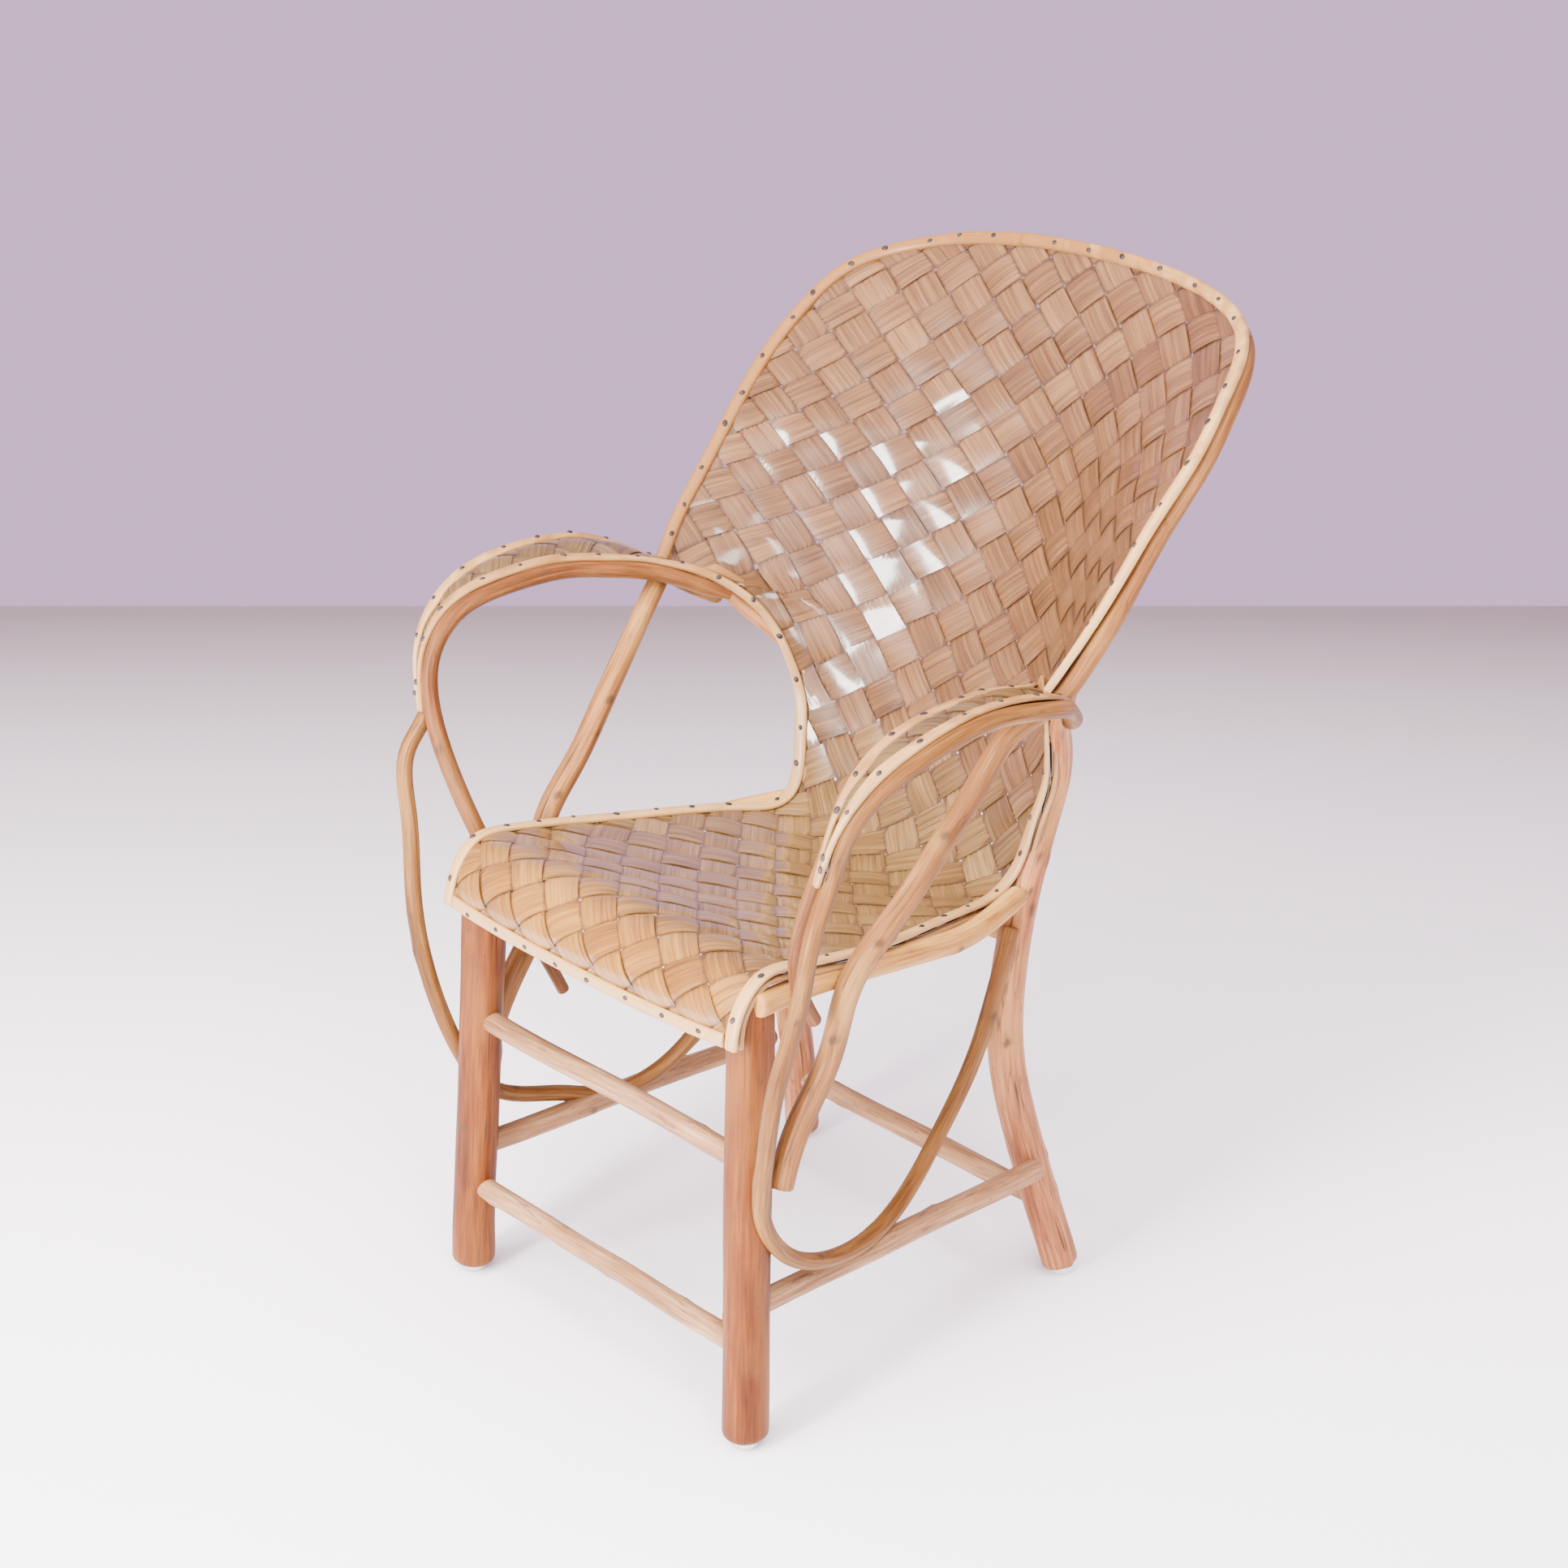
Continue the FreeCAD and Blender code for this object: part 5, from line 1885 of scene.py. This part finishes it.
@dataclass
class Frame:
    """All poles, stretchers and rods."""

    routes: Routes
    front_stretcher: float = 21.0
    rear_stretcher: float = 22.0
    front_cross_rail: float = 28.0
    rear_cross_rail: float = 26.0
    tenon: float = 16.0

    def cross_line(self, line: Array, share: float, bore: float) -> Array:
        """Return the line of a straight pole across the chair, let into two others.

        Args:
            line: centres of the right one of the two.
            share: its height, as a share of the seat's.
            bore: the two poles' thickness.

        Returns:
            Its left end, middle and right end.
        """
        centre = along(line, share * SEAT_HEIGHT)
        end = np.array([centre[0] - bore / 2 + self.tenon, centre[1], centre[2]])
        middle = np.array([0.0, end[1], end[2]])
        return np.array([on_side(end, Side.LEFT), middle, end])

    def lay(
        self, node: str, points: Array, diameter: object, finish: Finish, seed: int,
        ending: str = "pole", **settings: object,
    ) -> None:
        """Build the pole or rod that stands for a node.

        Args:
            node: the node's name.
            points: its centres.
            diameter: its thickness, one for all or one for each centre.
            finish: what it is finished with.
            seed: start of its random draws.
            ending: last word of the new piece's name.
            **settings: the pole's other fields.
        """
        diameters = np.broadcast_to(diameter, (len(points),))
        Pole(f"{node}_{ending}", points, diameters, finish, (node,), seed, **settings).build()

    def build_side(self, side: Side) -> None:
        """Build the poles and rods of one side.

        Args:
            side: the side.
        """
        routes = self.routes
        leg = np.linspace(*routes.leg_line(), 4)
        first, last = routes.side_stretcher_line()
        last = last + unit(last - first) * routes.side_stretcher * 0.4
        rail, inner = routes.rail_line(), routes.inner_rod_line(side)
        lengths = run_lengths(inner)
        taper = np.interp(lengths / lengths[-1], [0.0, 0.72, 1.0], [1.0, 1.0, 0.74])
        worn = {"start": EndCut.WORN}
        rows = (
            ("front_leg", leg, routes.front_leg, FRONT_LEG_WOOD,
             dict(worn, knots=5, wobble=1.0, around=28, **FRONT_LEG_MARKS[side])),
            ("back_pole", *routes.back_line(), BACK_POLE_WOOD,
             dict(worn, end=EndCut.WHITTLED, knots=9, wobble=1.2, around=26, **BACK_POLE_MARKS)),
            ("hoop_pole", *routes.hoop_line(side), HOOP_WOOD,
             dict(end=EndCut.WHITTLED, knots=8, **HOOP_POLE_MARKS)),
            ("side_rail", rail, routes.rail, RAIL_WOOD, dict(knots=2)),
            ("side_stretcher", np.array([first, (first + last) / 2, last]), routes.side_stretcher,
             STRETCHER_WOOD, dict(end=EndCut.ROUNDED, wobble=1.2)),
            ("outer_arm_rod", routes.outer_rod_line(side), routes.outer_rod, ROD_WOOD,
             dict(ending="rod", start=EndCut.ROUNDED, knots=12, wobble=0.9)),
            ("inner_arm_rod", inner, routes.inner_rod * taper, INNER_ROD_WOOD,
             dict(ending="rod", start=EndCut.WHITTLED, knots=6)),
        )
        for seed, (stem, line, diameter, finish, settings) in enumerate(rows, SIDE_SEEDS[side] + 1):
            self.lay(f"{stem}_{side.word}", on_side(line, side), diameter, finish, seed, **settings)

    def build_across(self) -> None:
        """Build the stretchers and rails that run across the chair."""
        leg, back = self.routes.leg_line(), self.routes.back_line()[0]
        front_bore, rear_bore = self.routes.front_leg, self.routes.back_pole
        rows = (
            ("front_stretcher_upper", leg, 0.600, self.front_stretcher, front_bore, STRETCHER_WOOD),
            ("front_stretcher_lower", leg, 0.208, self.front_stretcher, front_bore, STRETCHER_WOOD),
            ("front_cross_rail", leg, 0.850, self.front_cross_rail, front_bore, RAIL_WOOD),
            ("rear_stretcher", back, 0.180, self.rear_stretcher, rear_bore, STRETCHER_WOOD),
            ("rear_cross_rail", back, 0.800, self.rear_cross_rail, rear_bore, RAIL_WOOD),
        )
        for seed, (name, line, share, diameter, bore, finish) in enumerate(rows, ACROSS_SEED):
            self.lay(name, self.cross_line(line, share, bore), diameter, finish, seed, wobble=1.2)

    def build(self) -> None:
        """Build every pole, rod and stretcher."""
        for side in Side:
            self.build_side(side)
        self.build_across()


# ---------------------------------------------------------------- arms


class ArmFace:
    """The face of the right arm, or of the left one, with places as (along, across)."""

    def __init__(self, routes: Routes, side: Side) -> None:
        """Work out the face from the arm's edges.

        Args:
            routes: the lines of the rods that the arm lies on.
            side: the side of the chair.
        """
        inner, outer, across, normals = arm_rows()
        widths = np.linalg.norm(outer - inner, axis=1)
        start = inner + across * np.minimum(routes.inner_rod / 2 + SEAT_GAP, widths * 0.25)[:, None]
        end = outer - across * np.minimum(routes.outer_rod / 2 + SEAT_GAP, widths * 0.25)[:, None]
        middle = (start + end) / 2
        lengths = run_lengths(middle)
        steps = np.linspace(0, lengths[-1], 161)
        self.lengths = steps
        self.middle, self.across, self.normals = [
            SmoothCurve(lengths, values).at(steps)
            for values in (middle, (end - start) / 2, normals)]
        self.middle, self.across, self.normals = [
            on_side(values, side) for values in (self.middle, self.across, unit(self.normals))]
        self.half = np.linalg.norm(self.across, axis=1)
        self.crown = np.interp(steps, lengths, ARM_CROWN * widths.clip(1) / widths.max())

    def contains(self, lengths: Array, across: Array, margin: float) -> Array:
        """Return whether places lie on the arm, a margin past its woven edge."""
        on_length = (lengths > 1) & (lengths < self.lengths[-1] - 1)
        return on_length & (np.abs(across) < np.interp(lengths, self.lengths, self.half) + margin)

    def at(self, lengths: Array, across: Array, depth: Array) -> Array:
        """Return points of the arm.

        Args:
            lengths: places along the arm.
            across: places across it.
            depth: how far below the rims' upper face they lie.

        Returns:
            The points in millimetres.
        """
        middle, ways, normals = [
            read_along(lengths, self.lengths, rows)
            for rows in (self.middle, self.across, self.normals)]
        half, crown = [
            np.interp(lengths, self.lengths, values) for values in (self.half, self.crown)]
        rise = crown * np.maximum(1 - (across / half) ** 2, -0.2) - depth
        return middle + unit(ways) * across[..., None] + unit(normals) * rise[..., None]


@dataclass
class Arms:
    """The woven strips of both arms."""

    routes: Routes

    def build(self) -> None:
        """Weave both arms."""
        for side in Side:
            weave = Weave(
                ArmFace(self.routes, side), ArmLattice(), (-4, 14), 40 + side.value,
                margin=3.5, cell_steps=6)
            weave.build(f"arm_weave_{side.word}", ARM_SPLINT, (f"arm_weave_{side.word}",))


# ---------------------------------------------------------------- rims and nails together


@dataclass
class Rims:
    """Every rim strip with its nails."""

    edges: Edges

    def build(self) -> None:
        """Make the rims, dress them and nail them."""
        seat_side, hoop, lip = self.edges.seat_side(), self.edges.hoop(), self.edges.lip()
        waist, waist_widths = self.edges.waist()
        outer, outer_widths = self.edges.arm(-1)
        over, under = hoop.part(0, LAP_SHARE + 0.008), hoop.part(LAP_SHARE - 0.006, 1)
        lengths = run_lengths(over.points)
        rise = np.clip((lengths - lengths[-1] + LAP_LENGTH) / (LAP_LENGTH * 0.6), 0, 1)
        self.strip("back_rim_right", over, (0.0, 0.85), 11, ("back_rim",),
                   top=-LAP_RISE * rise * rise * (3 - 2 * rise), thickness=BACK_RIM_THICKNESS)
        self.strip("back_rim_left", under, (0.8, 1.1), 12, ("back_rim",),
                   thickness=BACK_RIM_THICKNESS)
        self.strip("lip_rim_front_strip", lip, (0.0, 0.2), 13, ("lip_rim_front",))
        self.strip("lip_rim_rear_strip", lip, (0.4, 0.6), 14, ("lip_rim_rear",), top=LOWER_RIM_TOP)
        nails = Nails("rim_nails", 5)
        nails.along_edge(hoop, 43, 0.45)
        nails.along_edge(lip, 46, 0.5)
        for side in Side:
            word = side.word
            right = side is Side.RIGHT
            seat_edge, waist_edge, outer_edge = [
                edge if right else edge.mirrored() for edge in (seat_side, waist, outer)]
            self.strip(f"waist_rim_{word}_strip", waist_edge, (0.2, 0.65), 21 + side.value,
                       (f"side_rim_upper_{word}", f"arm_inner_rim_{word}"), widths=waist_widths)
            self.strip(f"side_rim_lower_{word}_strip", seat_edge, (0.5, 0.7), 22,
                       (f"side_rim_lower_{word}",), top=LOWER_RIM_TOP)
            self.strip(f"arm_outer_rim_{word}_strip", outer_edge, (0.75, 0.3), 24,
                       (f"arm_outer_rim_{word}",), widths=outer_widths)
            nails.along_edge(waist_edge, 43, 0.42)
            nails.along_edge(outer_edge, 44, 0.3)
        nails.build()

    def strip(
        self, name: str, edge: Edge, tone: tuple[float, float], seed: int, nodes: Sequence[str],
        **settings: object,
    ) -> None:
        """Make one rim strip and dress it."""
        Bench.hand_over(RimStrip(name, edge, tone=tone, seed=seed, **settings).mesh(), RIM, nodes)


# ---------------------------------------------------------------- glides


@dataclass
class Glides:
    """Four domed metal glides, modelled once and copied."""

    routes: Routes
    diameter: float = 25.0
    height: float = GLIDE_HEIGHT

    def build(self) -> None:
        """Make the glides and dress them."""
        Bench.clear()
        bpy.ops.mesh.primitive_cylinder_add(
            vertices=28, radius=self.diameter / 2 * MILLIMETRE, depth=self.height * MILLIMETRE)
        pattern = bpy.context.object
        bpy.ops.object.mode_set(mode="EDIT")
        bpy.ops.mesh.select_all(action="DESELECT")
        bpy.ops.object.mode_set(mode="OBJECT")
        for polygon in pattern.data.polygons:
            polygon.select = polygon.normal.z < -0.9
        bpy.ops.object.mode_set(mode="EDIT")
        bpy.ops.mesh.bevel(offset=self.height * 0.5 * MILLIMETRE, segments=5, profile=0.55)
        bpy.ops.object.mode_set(mode="OBJECT")
        feet = (self.routes.leg_line()[0], self.routes.back_line()[0][0])
        domes = []
        for foot in feet:
            for side in Side:
                across, back, _ = in_frame(on_side(foot, side))
                middle = self.height * MILLIMETRE / 2
                domes.append(Bench.copy_of(pattern, Matrix.Translation((across, back, middle))))
        bpy.data.objects.remove(pattern)
        glides = Bench.join("glide_domes", domes)
        Bench.smooth(glides, 40)
        Bench.hand_over(glides, CHROME, ("glides",))


# ---------------------------------------------------------------- studio


@dataclass(frozen=True)
class SoftLight:
    """A rectangular soft light."""

    name: str
    place: Point
    aim: Point
    size: tuple[float, float]
    power: float
    colour: Colour = (1.0, 1.0, 1.0)
    mirrored: bool = True

    def build(self) -> None:
        """Hang the light."""
        data = bpy.data.lights.new(self.name, "AREA")
        data.shape = "RECTANGLE"
        data.size, data.size_y = self.size
        data.energy = self.power
        data.color = self.colour
        light = bpy.data.objects.new(self.name, data)
        light.location = self.place
        light.visible_glossy = self.mirrored
        way = Vector(self.aim) - Vector(self.place)
        light.rotation_euler = way.to_track_quat("-Z", "Y").to_euler()
        bpy.context.scene.collection.objects.link(light)


@dataclass
class Studio:
    """Camera, floor and lights."""

    camera_place: Point = (1.86295, -1.74648, 1.5148)
    azimuth: float = 48.04
    tilt: float = 21.73
    lens: float = 66.54
    floor_half: float = 2.05
    sky: Colour = (0.97, 0.62, 1.0)

    def build(self) -> None:
        """Set up the camera, the floor and the lights."""
        data = bpy.data.cameras.new("camera")
        data.lens = self.lens
        data.sensor_width = 36.0
        data.sensor_fit = "HORIZONTAL"
        camera = bpy.data.objects.new("camera", data)
        camera.location = self.camera_place
        camera.rotation_euler = (math.radians(90 - self.tilt), 0, math.radians(self.azimuth))
        bpy.context.scene.collection.objects.link(camera)
        bpy.context.scene.camera = camera
        Bench.clear()
        bpy.ops.mesh.primitive_plane_add(size=2 * self.floor_half)
        floor = bpy.context.object
        floor.name = "studio_floor"
        floor.data.transform(Matrix.Rotation(math.radians(self.azimuth), 4, "Z"))
        floor.data.materials.append(FLOOR.material())
        lights = (
            SoftLight("window_light", (0.38, -2.72, 1.0), (0, 0, 0.62), (0.45, 1.8), 260),
            SoftLight("second_window_light", (2.3, -1.2, 1.0), (0, 0, 0.62), (0.4, 1.5), 55),
            SoftLight("key_light", (-0.3, -2.5, 2.4), (0, 0, 0.4), (1.4, 1.4), 150, mirrored=False),
            SoftLight(
                "ceiling_light", (0.6, -0.6, 3.2), (0, 0, 0), (4.0, 4.0), 560, mirrored=False),
        )
        for light in lights:
            light.build()
        world = bpy.data.worlds.new("studio_air")
        bpy.context.scene.world = world
        world.use_nodes = True
        sky = world.node_tree.nodes["Background"]
        sky.inputs["Color"].default_value = (*self.sky, 1.0)
        sky.inputs["Strength"].default_value = 1.0


def main() -> None:
    """Build the chair's looks around the frame."""
    logging.basicConfig(level=logging.INFO, format="%(name)s: %(message)s")
    face = SheetFace()
    edges = Edges(face)
    routes = Routes(face, edges)
    Studio().build()
    Weave(face, Lattice(), (-8, 34), 3).build("woven_sheet", SPLINT, ("woven_seat_and_back",))
    Arms(routes).build()
    Rims(edges).build()
    Frame(routes).build()
    Glides(routes).build()


if __name__ == "__main__":
    main()
